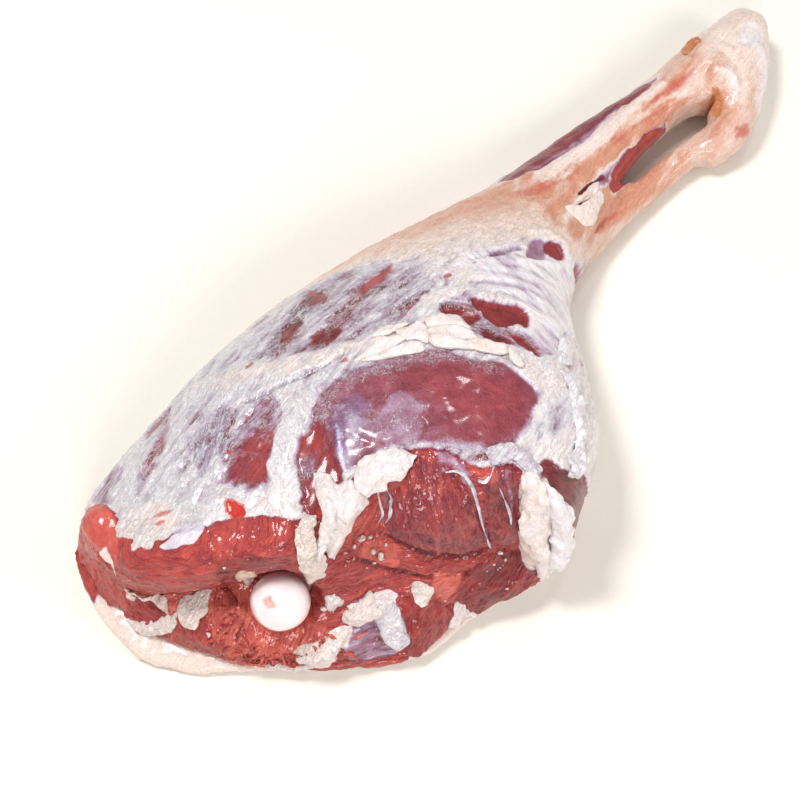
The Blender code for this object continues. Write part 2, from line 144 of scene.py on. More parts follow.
# the lower band of the front muscle, painted darker as shade
FRONT_SHADE = [(72, 68), (82, 74), (92, 76), (103, 76), (102, 68), (90, 65), (82, 54), (73, 42)]
CAVITY = [(26, 23), (36, 25), (49, 27), (42, 21), (33, 15), (26, 15)]
CAVITY_FAT = [(25, 13), (33, 15), (41, 20), (49, 26), (45, 18), (37, 10), (30, 7), (25, 8)]
MEMBRANES = [
    [(26, 27), (30, 26), (29, 23), (26, 23)],
    [(36, 28), (41, 30), (45, 28), (45, 24), (40, 24)],
    [(49, 27), (55, 31), (62, 34), (68, 40), (65, 33), (60, 29), (54, 26)],
]
FRONT_SPIKE = [(46, 30), (52, 31), (49, 27), (45, 24)]
LOWER_MUSCLE = [(36, 8), (43, 18), (53, 28), (60, 28), (67, 24), (70, 14), (60, 9), (46, 7)]
FIBRES = [(64, 35), (74, 37), (84, 42), (92, 32), (101, 30), (112, 32), (119, 26), (112, 20), (90, 9),
          (74, 10), (66, 20)]
JOINT_FAT = [(80, 64), (87, 58), (86, 46), (80, 46)]
BLOCK = [(154, 92), (169, 92), (175, 86), (182, 77), (186, 64), (187, 54), (181, 49), (169, 52), (155, 61),
         (146, 67), (144, 73), (148, 82)]
BLOCK_FACET = [(136, 86), (146, 82), (144, 72), (146, 67), (139, 60), (128, 66), (126, 71)]
CHUNK = [(134, 66), (142, 63), (150, 60), (151, 53), (146, 47), (138, 52), (133, 60)]
MIDDLE_MUSCLE = [(150, 57), (169, 50), (188, 48), (193, 41), (179, 38), (165, 43), (152, 50)]
UNDER_MUSCLE = [(135, 52), (150, 47), (163, 45), (161, 40), (148, 37), (134, 40)]
BRIGHT_MUSCLE = [(164, 44), (171, 42), (177, 37), (175, 31), (170, 28), (165, 35)]
SEAM_FAT = [(155, 40), (161, 41), (164, 37), (163, 32), (158, 35)]
JOINT_SCRAP = [(79, 64), (84, 68), (88, 62), (87, 48), (84, 40), (80, 42)]
RIM_KNEE = [(-10, 25), (-10, 4), (0, 6), (5, 9), (10, 12), (16, 16), (24, 20), (24, 28)]
CORNER_MUSCLE = [(149, 34), (161, 33), (170, 24), (180, 10), (172, 3), (158, 3), (151, 14)]
SILVERSKIN = [(130, 40), (143, 36), (150, 29), (151, 14), (140, 10), (124, 14), (125, 28)]
SILVER_FAT = [(136, 36), (146, 35), (151, 28), (153, 17), (147, 15), (140, 26)]
WHITE_FAT = [(126, 38), (139, 38), (150, 36), (143, 32), (134, 30)]
CREAM_FAT = [(101, 22), (113, 26), (127, 30), (125, 22), (113, 16)]
LOW_STRIP = [(100, 15), (124, 13), (140, 10), (152, 8), (147, 3), (122, 3), (100, 7)]
HAM_MUSCLE = [(176, 26), (181, 39), (193, 47), (203, 38), (213, 29), (208, 18), (196, 8), (184, 8)]
SECOND_BLOCK = [(187, 84), (191, 90), (199, 89), (202, 78), (203, 62), (201, 50), (195, 50), (189, 57)]
BRIGHT_FACET = [(180, 92), (186, 94), (193, 92), (189, 87)]
CREAM_LOBE = [(202, 72), (203, 88), (211, 88), (216, 78), (217, 60), (216, 40), (212, 30), (206, 33),
              (203, 50)]
WHITE_LOBE = [(214, 80), (219, 70), (222, 56), (222, 34), (218, 18), (213, 20), (216, 34), (217, 56)]

# ---- separate pieces: rails of (x, y, z, lift) near the leg, or of (along the cut, height, lift) ----
FLAP_TOP = [
    [(-134, -11, 91, 1), (-128, -10, 92, 1.5), (-122, -13, 93, 2), (-116, -17, 94, 2), (-114, -22, 94, 2),
     (-113, -30, 93, 1)],
    [(-136, -13, 90, 3.5), (-130, -14, 92, 3), (-124, -17, 93, 3.5), (-120, -20, 94, 2.5), (-117, -24, 94, 3),
     (-115, -29, 93, 1.5)],
    [(-138, -16, 89, 4), (-133, -19, 91, 4.5), (-128, -21, 94, 2.5), (-124, -24, 94, 3.5),
     (-121, -27, 93, 2.5), (-118, -29, 92, 1.5)],
    [(-139, -21, 86, 3), (-134, -23, 87, 3.5), (-132, -25, 88, 1.5), (-128, -27, 91, 2), (-125, -28, 92, 1),
     (-121, -29, 92, 1)],
]
FLAP_CURL = [
    [(-141, 5, 85, 1), (-147, 0, 85, 3), (-153, -8, 87, 4), (-158, -11, 83, 3), (-165, -13, 77, 1.5)],
    [(-139, 0, 86, 2), (-147, -6, 88, 5), (-152, -12, 87, 6), (-157, -14, 81, 5), (-164, -15, 73, 3)],
    [(-140, -6, 89, 1.5), (-146, -12, 89, 1.5), (-151, -15, 87, 2.5), (-156, -15, 78, 3), (-163, -16, 69, 2)],
    [(-136, -11, 90, 3), (-141, -16, 89, 5), (-149, -19, 87, 5.5), (-153, -18, 76, 5), (-163, -18, 66, 3)],
    [(-138, -18, 88, 1), (-139, -22, 85, 1), (-146, -22, 85, 1), (-152, -20, 73, 1.5), (-162, -20, 63, 1)],
]
HANGING = [
    [(-158, -1, 82, 1), (-166, -3, 82, 2), (-172, -8, 79, 2), (-174, -10, 66, 4), (-174, -9, 47, 4)],
    [(-157, -4, 83, 2), (-164, -8, 83, 3), (-169, -11, 77, 3), (-171, -13, 65, 4), (-174, -16, 53, 3)],
    [(-156, -8, 85, 1.5), (-162, -11, 82, 2), (-165, -14, 74, 4), (-164, -18, 67, 4), (-169, -20, 58, 2)],
]
CURL_END = [(-161, -14, 78, 2), (-164, -15, 74, 3), (-167, -17, 69, 2.5)]
CORNER_RAILS = [
    [(-93, -69, 87, 0), (-98, -74, 72, 1), (-104, -77, 62, 1.5), (-105, -80, 43, 2), (-105, -88, 35, 1.5),
     (-106, -93, 25, 1)],
    [(-89, -72, 86, 2), (-94, -79, 72, 4), (-99, -82, 57, 5), (-102, -86, 45, 6), (-103, -90, 38, 4),
     (-104, -95, 22, 2)],
    [(-88, -78, 82, 0.5), (-92, -84, 76, 2), (-94, -88, 56, 2), (-98, -91, 45, 2.5), (-101, -93, 38, 2),
     (-102, -97, 20, 1)],
    [(-88, -84, 78, 2), (-90, -88, 74, 4), (-93, -93, 60, 5), (-95, -96, 46, 5), (-97, -98, 33, 4),
     (-99, -99, 20, 2)],
    [(-86, -86, 73, 0), (-86, -92, 63, 1.5), (-89, -97, 57, 2), (-89, -99, 40, 1.5), (-93, -100, 30, 1),
     (-97, -100, 20, 0)],
]
TOP_RIDGE = [
    [(-93, -50, 93, 0), (-86, -56, 92, 0.5), (-82, -64, 89, 0.5), (-84, -74, 83, 0)],
    [(-96, -53, 92, 1.5), (-89, -58, 91, 2.5), (-86, -65, 89, 3), (-88, -74, 85, 2)],
    [(-98, -56, 91, 0.5), (-92, -61, 90, 1), (-90, -65, 89, 1.5), (-91, -73, 86, 1)],
]
SIDE_FLAP = [
    [(-37, -55, 77, 0), (-43, -62, 78, 0), (-50, -69, 76, 0), (-57, -75, 75, 0), (-64, -79, 74, 0),
     (-72, -82, 75, 0), (-77, -84, 73, 0)],
    [(-33, -56, 74, 2), (-39, -64, 75, 3.5), (-46, -71, 73, 2.5), (-54, -76, 72, 3.5), (-60, -81, 69, 3),
     (-67, -85, 68, 3), (-74, -86, 68, 1)],
    [(-31, -56, 72, 0.5), (-36, -65, 70, 2), (-43, -72, 69, 1), (-52, -77, 69, 3), (-56, -82, 65, 1.5),
     (-61, -85, 63, 3), (-69, -87, 64, 0.5)],
]
CORNER_FOLD = [
    [(-19, -44, 70, 0), (-26, -48, 73, 0), (-33, -51, 77, 0)],
    [(-13, -45, 64, 2), (-23, -50, 69, 3), (-30, -54, 72, 2)],
    [(-7, -45, 56, 0.5), (-17, -51, 62, 1.5), (-28, -56, 69, 0.5)],
]
SINEWS = [  # knots on the cut, radii along them and how flat they are
    ([(170, 91, 0.2), (176, 90, 0.5), (181, 87, 0.8), (184, 77, 0.8), (186, 68, 0.8), (188, 60, 0.6),
      (190, 52, 0.8)], [0.4, 1.0, 1.2, 0.9, 0.7, 0.6, 1.1], 0.5),
    ([(184, 89, 0.2), (187, 89, 0.6), (191, 91, 0.4)], [0.8, 1.2, 0.4], 0.4),
    ([(193, 85, 0.3), (196, 76, 0.6), (198, 71, 0.5), (199, 65, 0.2)], [0.4, 0.7, 0.9, 0.4], 0.4),
    ([(141, 90, 0.3), (142, 82, 0.6), (143, 77, 0.6), (141, 73, 0.3)], [0.4, 0.6, 0.7, 0.4], 0.4),
    ([(145, 89, 0.3), (147, 82, 0.8), (146, 77, 0.8), (144, 72, 0.3)], [0.6, 1.1, 1.0, 0.4], 0.35),
]
MEMBRANE = [
    [(25, 33, 1), (30, 33, 1.5), (36, 33, 1.5), (42, 32, 1), (46, 31, 0.5)],
    [(26, 30, 2), (31, 30, 3), (36, 30, 2), (41, 27, 3), (45, 29, 1.5)],
]
WEDGE = [(50, 30), (58, 33), (66, 38), (64, 33), (61, 30), (56, 26), (51, 26)]
SPIKE = [(44, 33), (50, 33), (49, 28), (46, 25), (45, 28)]
FAT_SCRAPS = [  # outline on the cut and thickness
    ([(24, 11), (29, 14), (35, 16), (42, 21), (48, 26), (48, 22), (43, 16), (37, 11), (31, 8)], 2.2),
    ([(102, 19), (109, 22), (118, 27), (126, 29), (122, 22), (119, 14), (112, 12), (106, 15)], 3.0),
    ([(123, 33), (128, 38), (136, 39), (144, 35), (139, 32), (131, 30)], 3.2),
    (SEAM_FAT, 1.2),
    ([(172, 14), (176, 22), (181, 16), (186, 9), (179, 8)], 1.2),
    ([(118, 45), (122, 44), (125, 40), (120, 37), (116, 40)], 1.2),
    ([(86, 11), (98, 13), (112, 13), (108, 10), (96, 8)], 1.2),
]
BALL_MIDDLE = (98, 34)  # on the cut
BALL_PIT = (-193, -6, 56)
BALL_PIT_SHAPE = (1.0, 1.3, 1.0)  # how long it is along each axis
FIBRE_TURN = (170, 330)  # degrees round the ball
FIBRE_REACH = (16, 28)  # mm from its middle
FIBRE_LENGTH = (6, 13)  # mm
FIBRE_COUNT = 45  # in each of the two heaps
CRUMBS = [  # along the cut, height, radius
    (63, 25, 1.2), (116, 37, 1.8), (138, 63, 1.7), (141, 57, 1.8), (139, 55, 1.0), (134, 71, 2.2),
    (137, 68, 1.4), (161, 86, 0.9), (195, 45, 1.3), (192, 42, 1.0), (197, 41, 1.0), (189, 38, 0.7),
    (75, 70, 0.8), (108, 50, 1.2), (199, 25, 0.9), (170, 28, 0.9), (144, 62, 0.8), (131, 66, 0.9),
    (72, 33, 0.8), (88, 12, 0.8),
]
HOCK_SCRAP = [
    [(186, -4, 31, 0), (193, -5, 32, 0), (200, -4, 31, 0)],
    [(186, 0, 30, 2), (193, 1, 30, 3), (201, 0, 28, 2.5)],
    [(187, 2, 28, 3), (193, 4, 27, 5), (199, 3, 27, 4)],
]

# ---- points, outlines and noise ----
OUTLINE_REACH = 14.0  # mm, how far outside an outline distances are measured


def rounded(points, closed=True, steps=5):
    """A smooth line through the points (Catmull-Rom), as an array."""
    points = np.array(points, float)
    count = len(points)
    spans = count if closed else count - 1
    line = []
    for i in range(spans):
        if closed:
            a, b, c, d = (points[(i + k) % count] for k in (-1, 0, 1, 2))
        else:
            a, b, c, d = (points[min(max(i + k, 0), count - 1)] for k in (-1, 0, 1, 2))
        for t in np.arange(steps) / steps:
            line.append(0.5 * (2 * b + (c - a) * t + (2 * a - 5 * b + 4 * c - d) * t * t
                               + (3 * b - a - 3 * c + d) * t ** 3))
    if not closed:
        line.append(points[-1])
    return np.array(line)


def to_segments(where, line, closed):
    """Distance from each point to a line in the plane, and the position along it from 0 to 1."""
    ends = np.roll(line, -1, axis=0) if closed else line[1:]
    starts = line if closed else line[:-1]
    best = np.full(len(where), FAR_AWAY)
    along = np.zeros(len(where))
    for i, (a, b) in enumerate(zip(starts, ends)):
        run = b - a
        t = np.clip(((where - a) @ run) / max(run @ run, 1e-9), 0, 1)
        gap = np.linalg.norm(where - a - t[:, None] * run, axis=1)
        nearer = gap < best
        best[nearer] = gap[nearer]
        along[nearer] = (i + t[nearer]) / len(starts)
    return best, along


def near_line(where, line, reach):
    """Which points are in the box of the line, grown by the reach."""
    return np.all((where > line.min(0) - reach) & (where < line.max(0) + reach), axis=1)


def inside_outline(where, outline):
    """How many mm each point is inside the closed outline, negative outside, at least -OUTLINE_REACH."""
    line = rounded(outline)
    depth = np.full(len(where), -OUTLINE_REACH)
    near = near_line(where, line, OUTLINE_REACH)
    if not near.any():
        return depth
    spot = where[near]
    gap = to_segments(spot, line, True)[0]
    x, y = spot[:, 0], spot[:, 1]
    crossings = np.zeros(len(spot), int)
    for a, b in zip(line, np.roll(line, -1, axis=0)):
        spans = (a[1] > y) != (b[1] > y)
        rise = b[1] - a[1] if b[1] != a[1] else 1e-9
        crossings += spans & (x < a[0] + (y - a[1]) * (b[0] - a[0]) / rise)
    depth[near] = np.maximum(np.where(crossings % 2 == 1, gap, -gap), -OUTLINE_REACH)
    return depth


def inside_stroke(where, knots):
    """The same for a stroke: knots are (u, v, half width)."""
    line = rounded([k[:2] for k in knots], closed=False)
    halves = rounded([(k[2], 0) for k in knots], closed=False)[:, 0]
    depth = np.full(len(where), -OUTLINE_REACH)
    near = near_line(where, line, OUTLINE_REACH + max(k[2] for k in knots))
    if near.any():
        gap, along = to_segments(where[near], line, False)
        half = np.interp(along, np.linspace(0, 1, len(halves)), halves)
        depth[near] = np.maximum(half - gap, -OUTLINE_REACH)
    return depth


def ease(value, low, high):
    """0 below low, 1 above high, with a smooth step between."""
    t = np.clip((value - low) / (high - low), 0, 1)
    return t * t * (3 - 2 * t)


def cloud(at, size, octaves=3, seed=0, stretch=(1, 1, 1)):
    """Fractal noise of about -1 to 1 with features of that size in mm, longer where they are stretched."""
    spots = at / (size * np.array(stretch, float)) + 31.7 * (seed + 1)
    return np.array([noise.fractal(p, 1.0, 2.0, octaves) for p in spots.tolist()])


# ---- meshes ----
def configured(made, **settings):
    """The modifier, node or lamp with these settings."""
    for key, value in settings.items():
        setattr(made, key, value)
    return made


def add_object(name, data):
    """A new object in the scene."""
    made = bpy.data.objects.new(name, data)
    bpy.context.scene.collection.objects.link(made)
    return made


def modify(piece, kind, **settings):
    """Adds a modifier, named after its kind."""
    return configured(piece.modifiers.new(kind.lower(), kind), **settings)


def apply_all(piece):
    """Bakes the piece's modifiers into its mesh."""
    graph = bpy.context.evaluated_depsgraph_get()
    made = bpy.data.meshes.new_from_object(piece.evaluated_get(graph))
    piece.modifiers.clear()
    piece.data = made


def read_all(things, key, width=1, kind=np.float32):
    """One property of all the vertices, faces or corners, a row for each."""
    values = np.empty(len(things) * width, kind)
    things.foreach_get(key, values)
    return values.reshape(-1, width) if width > 1 else values


def points_of(piece):
    """Vertex positions in mm and unit normals."""
    at = read_all(piece.data.vertices, "co", 3)
    normal = read_all(piece.data.vertex_normals, "vector", 3)
    return at.astype(float) / MM, normal.astype(float)


def move_points(piece, at):
    """Sets vertex positions from mm."""
    piece.data.vertices.foreach_set("co", (at * MM).astype(np.float32).ravel())
    piece.data.update()


def write_field(piece, name, values):
    """Stores one number for each vertex."""
    layer = piece.data.attributes.new(name, "FLOAT", "POINT")
    layer.data.foreach_set("value", values.astype(np.float32))


def write_grain(piece, domain, values):
    """Stores grain coordinates for each vertex or face corner."""
    layer = piece.data.attributes.new("grain", "FLOAT_VECTOR", domain)
    layer.data.foreach_set("vector", values.astype(np.float32).ravel())


def shade_smooth(piece):
    """Smooth shading all over."""
    piece.data.polygons.foreach_set("use_smooth", [True] * len(piece.data.polygons))


# ---- dense copies of the CAD solids ----
WELD_GAP = 0.01  # mm
UNDERSIDE_TOP = 5.0  # mm, how high the hidden underside reaches


def dense_copy(node, name, voxel, smoothing=4):
    """A rounded copy of a CAD node with an even mesh of the given voxel size, in mm."""
    piece = add_object(name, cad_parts[node].data.copy())
    piece.data.materials.clear()
    modify(piece, "WELD", merge_threshold=WELD_GAP * MM)
    modify(piece, "SUBSURF", levels=2)
    modify(piece, "REMESH", mode="VOXEL", voxel_size=voxel * MM)
    modify(piece, "SMOOTH", iterations=smoothing)
    apply_all(piece)
    drop_specks(piece)
    return piece


def island_of(start):
    """All the vertices joined to this one by edges."""
    found = {start}
    front = [start]
    while front:
        vert = front.pop()
        for edge in vert.link_edges:
            near = edge.other_vert(vert)
            if near not in found:
                found.add(near)
                front.append(near)
    return found


def drop_specks(piece):
    """Deletes the specks that the voxel remesh leaves beside the main mesh."""
    shape = bmesh.new()
    shape.from_mesh(piece.data)
    left = set(shape.verts)
    main = set()
    while left:
        island = island_of(next(iter(left)))
        left -= island
        main = max(main, island, key=len)
    specks = [vert for vert in shape.verts if vert not in main]
    bmesh.ops.delete(shape, geom=specks, context="VERTS")
    shape.to_mesh(piece.data)
    shape.free()


def thin_underside(piece, share):
    """Merges faces on the hidden underside, so that the rest can be finer."""
    group = piece.vertex_groups.new(name="underside")
    at, normal = points_of(piece)
    low = np.nonzero((normal[:, 2] < -0.5) & (at[:, 2] < UNDERSIDE_TOP))[0]
    group.add(low.tolist(), 1.0, "REPLACE")
    modify(piece, "DECIMATE", vertex_group=group.name, ratio=share)
    apply_all(piece)
    piece.vertex_groups.clear()


def refine_face(piece):
    """Splits the faces of the cut, so that its bundles and scraps can be finer."""
    mesh = bmesh.new()
    mesh.from_mesh(piece.data)
    mesh.edges.ensure_lookup_table()
    middles = np.array([tuple((e.verts[0].co + e.verts[1].co) / 2) for e in mesh.edges]) / MM
    chosen = np.nonzero((face_share(middles) > 0.5) & (middles[:, 2] > 3))[0]
    bmesh.ops.subdivide_edges(mesh, edges=[mesh.edges[i] for i in chosen], cuts=1, use_grid_fill=True)
    bmesh.ops.triangulate(mesh, faces=[f for f in mesh.faces if len(f.verts) > 4])
    mesh.to_mesh(piece.data)
    mesh.free()


# ---- the maps that outlines are drawn on ----
EDGE_BAND = 12.0  # mm, where the edge between cut and skin is made wavy
EDGE_WAVES = 1.3  # mm
HOLLOW_DEPTH = 28.0  # mm, how deep the gap in the cut goes


def plan_map(at):
    """Seen from above."""
    return at[:, :2]


def face_map(at):
    """Distance along the cut and height."""
    run = (at[:, 0] - FACE_CORNER[0]) * FACE_RUN[0] + (at[:, 1] - FACE_CORNER[1]) * FACE_RUN[1]
    return np.column_stack((run, at[:, 2]))


def behind_face(at):
    """How many mm each point is behind the wall of the cut, in plan, and at most FACE_REACH."""
    foot = np.array(FACE_FOOT, float) + CENTRING
    head = np.array(FACE_HEAD, float) + CENTRING
    depth = np.full(len(at), FACE_REACH)
    near = at[:, 0] < FACE_END
    spot = at[near]
    share = np.clip(spot[:, 2] / FACE_TOP, -0.1, 1.2)[:, None]
    best = np.full(len(spot), FAR_AWAY)
    signed = np.zeros(len(spot))
    for i in range(len(foot) - 1):
        a = foot[i] + (head[i] - foot[i]) * share
        b = foot[i + 1] + (head[i + 1] - foot[i + 1]) * share
        run = b - a
        offset = spot[:, :2] - a
        t = np.clip((offset * run).sum(1) / (run * run).sum(1), 0, 1)[:, None]
        gap = np.linalg.norm(offset - t * run, axis=1)
        side = run[:, 1] * offset[:, 0] - run[:, 0] * offset[:, 1]
        nearer = gap < best
        best[nearer] = gap[nearer]
        signed[nearer] = np.where(side > 0, gap, -gap)[nearer]
    depth[near] = np.minimum(signed, FACE_REACH)
    return depth


def face_share(at):
    """1 on the cut and in its hollows, 0 on the skin behind its edge."""
    depth = behind_face(at)
    edge = np.abs(depth) < EDGE_BAND
    depth[edge] += EDGE_WAVES * cloud(at[edge], 5, 3, 13)
    hollow = ease(inside_outline(face_map(at), FACE_HOLLOW), -1, 1) * (depth < HOLLOW_DEPTH)
    return np.maximum(1 - ease(depth, 2.0, 4.5), hollow)


# ---- painting fields ----
GRAIN_UP = 0.3  # the grain changes this much slower with height than across the fibres


class Painter:
    """Fields for the vertices of one piece, changed region by region.

    The edge of what is painted fades over soft mm each way, and wanders by about ragged mm.
    """

    def __init__(self, piece):
        self.piece = piece
        self.at, self.normal = points_of(piece)
        self.fields = {name: np.zeros(len(self.at)) for name in FIELDS}
        self.lift = np.zeros(len(self.at))
        self.combs = [None]  # how each patch of grain lies: map, middle and heading; none on the first
        self.patch = np.zeros(len(self.at), int)
        self.wobble = cloud(self.at, 9, 3, seed=1)
        self.edge_noise = self.wobble + 0.5 * cloud(self.at, 3, 2, seed=2)
        self.where = None
        self.mask = np.ones(len(self.at))

    def use(self, where, mask):
        """Later outlines are drawn on this map, only where the mask is 1."""
        self.where = where
        self.mask = mask

    def fill(self, weight, lift=0.0, grain=None, **values):
        """Moves fields towards the values where the weight is 1; grain is the heading of the fibres."""
        for name, value in values.items():
            field = self.fields[name]
            field += (value - field) * weight
        self.lift += lift * weight
        if grain is not None:
            self.comb(weight > 0.5, math.radians(grain))

    def comb(self, chosen, heading):
        """Gives the chosen vertices a grain of their own, about their middle on the map."""
        if chosen.any():
            self.patch[chosen] = len(self.combs)
            self.combs.append((self.where, self.where[chosen].mean(0), heading))

    def grain_at(self, vertices, patches):
        """Grain coordinates, along the fibres, across them and up, of vertices taken as in these patches."""
        grain = self.at[vertices].copy()
        for number, comb in enumerate(self.combs):
            chosen = patches == number
            if comb is None or not chosen.any():
                continue
            where, middle, heading = comb
            spot = where[vertices[chosen]] - middle
            c, s = math.cos(heading), math.sin(heading)
            up = GRAIN_UP * self.at[vertices[chosen], 2]
            grain[chosen] = np.column_stack((spot @ (c, s), spot @ (-s, c), up))
        return grain

    def __call__(self, shape, soft, ragged, dome=0.0, **values):
        """Paints inside an outline of (u, v), or along a line of (u, v, half width).

        dome swells the middle of an outline out, rounded over the last few mm.
        """
        measure = inside_outline if len(shape[0]) == 2 else inside_stroke
        depth = measure(self.where, shape)
        self.fill(self.mask * ease(depth + ragged * self.edge_noise, -soft, soft), **values)
        if dome:
            rim = np.clip(depth / (3.0 * abs(dome)), 0, 1)
            self.lift += self.mask * dome * np.sqrt(1 - (1 - rim) ** 2)

    def swell(self):
        """Moves the vertices out by their lift, not below the floor, and returns where they come to be."""
        at = self.at + self.normal * self.lift[:, None]
        at[:, 2] = np.maximum(at[:, 2], 0.0)
        move_points(self.piece, at)
        return at

    def write(self):
        """Stores the fields, and the grain for each corner, so that no face spans two patches."""
        for name, values in self.fields.items():
            write_field(self.piece, name, values)
        mesh = self.piece.data
        corners = read_all(mesh.loops, "vertex_index", kind=np.int32)
        firsts = read_all(mesh.polygons, "loop_start", kind=np.int32)
        counts = read_all(mesh.polygons, "loop_total", kind=np.int32)
        patches = np.repeat(self.patch[corners[firsts]], counts)
        write_grain(self.piece, "CORNER", self.grain_at(corners, patches))


def paint_skin(paint, skin):
    """The upper side and flanks: fat and film over muscle, with windows where the muscle shows."""
    x, y = paint.at[:, 0], paint.at[:, 1]
    past_oval = ease(x, -85, -25)
    lower_leg = ease(x + 1.4 * y, 5, 85)
    paint.use(plan_map(paint.at), skin)
    paint.fill(skin, cover=1.06, tone=0.45, warm=0.15, frost=0.9)
    paint.fill(skin * past_oval, cover=1.1, warm=0.4, frost=0.25)
    paint(FASCIA, 8, 3, cover=1.0, warm=0.1, frost=0.3, sleek=0.4, grain=-100)
    paint.fill(skin * lower_leg, cover=1.3, warm=1.8, sleek=0.5, frost=0.0)
    paint.fields["cover"] += 0.16 * skin * cloud(paint.at, 22, 3, 16, (2, 1, 1))
    paint_knee_side(paint)
    paint_front(paint)
    paint_ham_side(paint)
    paint_oval(paint)


def paint_knee_side(paint):
    """Streaky film over the muscles of the knee side."""
    paint(CORNER_FROST, 5, 3, cover=1.15, warm=0.1, frost=1.2)
    paint(FLANK_FROST, 5, 4, cover=1.08, warm=0.0, frost=1.2)
    paint(FLANK_BLUE, 6, 4, cover=0.56, warm=-0.6, tone=0.45, frost=1.1, grain=20)
    paint([(-144, 89, 2), (-152, 83, 3.5), (-162, 79, 3.5), (-176, 75, 3)], 3, 3, cover=0.4, tone=0.62,
          warm=0.0, frost=0.6)
    paint([(-146, 92, 1), (-153, 90, 3), (-159, 88, 1)], 2, 2, cover=0.2, tone=0.5, frost=0.4)
    paint(LEFT_LILAC, 4, 3, cover=0.45, warm=-0.5, tone=0.5, frost=0.4)
    paint(KNEE_STREAKS, 7, 4, cover=0.72, warm=0.0, frost=1.0, grain=-12)
    paint(KNEE_GREY, 5, 3, cover=0.55, tone=0.4, frost=0.9, warm=-0.1)
    paint([(-46, 58, 2), (-58, 64, 4), (-68, 63, 5), (-80, 61, 5), (-92, 60, 4), (-104, 62, 2)], 3, 3,
          cover=0.34, tone=0.26, frost=0.9, lift=-0.4)
    paint([(-36, 41, 2.5), (-50, 43, 3.5), (-62, 42, 4), (-74, 41, 5), (-86, 40, 4.5), (-96, 47, 2)], 3, 3,
          cover=0.24, tone=0.5, frost=0.7, lift=-0.4)
    for spot in KNEE_SPOTS:
        paint(spot, 1.8, 1.5, cover=-0.1, tone=0.36, warm=0.5, frost=0.25)
    paint([(-32, 40, 2), (-44, 42, 3), (-52, 43, 2)], 3, 2, cover=0.5, blush=0.9, frost=0.3)
    paint([(-24, 14, 1.5), (-40, 20, 4), (-62, 26, 5), (-80, 33, 3)], 3, 3, cover=0.66, warm=0.1)
    paint(FLANK_PURPLE, 3, 3, cover=0.34, tone=0.5, warm=-0.25, frost=0.55, grain=-8, lift=-0.4)
    paint(FLANK_RED, 5, 3, cover=-0.3, tone=0.54, warm=0.2, frost=0.2, sleek=0.6)
    paint([(-128, 79, 5), (-114, 58, 5), (-100, 40, 5), (-86, 27, 4), (-66, 6, 3)], 4, 3, cover=1.15,
          warm=0.5, frost=0.5, lift=0.6)
    paint([(-128, 52, 0.8), (-117, 44, 1.2), (-100, 32, 1.0), (-88, 27, 0.5)], 1.2, 0.5, lift=-1.2,
          cover=0.5, tone=0.35)
    for u, v, size in FLECKS:
        paint([(u, v, size), (u - 2, v + 1, 0.6 * size)], 0.6, 1.2, amber=0.5, blush=1.6)


def paint_front(paint):
    """The swelling over the front muscle, with cream and lilac patches and a blood spot."""
    paint(FRONT_CREAM, 3, 2.5, cover=1.4, warm=0.6, frost=0.3, blush=0.1)
    paint(FRONT_LILAC, 1.5, 1.5, cover=0.66, warm=-0.6, frost=0.1, sleek=0.8)
    for u, v, size in ((-196, 61, 0.6), (-191, 56, 0.5), (-187, 52, 0.7), (-194, 53, 0.4), (-201, 52, 0.5)):
        paint([(u - 3, v + 3, 0.3), (u, v, size), (u + 3, v - 2, 0.3)], 0.8, 1.0, blush=1.0, amber=0.4)
    paint([(-168, 34, 3), (-176, 26, 4), (-178, 18, 3)], 3, 2, cover=1.4, warm=0.4)
    paint(BLOOD, 0.8, 2.2, blush=2.1, frost=0, sleek=0.8, lift=-0.8)
    paint(VEIL, 1.5, 1.5, cover=1.3, warm=0.1, frost=0.5, lift=0.6)
    paint([(-112, 26, 5), (-124, 25, 5), (-138, 23, 4.5), (-152, 16, 4.5), (-162, 6, 4.5), (-166, -4, 4)],
          2, 2, cover=1.2, warm=0.1, frost=0.7, lift=0.8, grain=60)


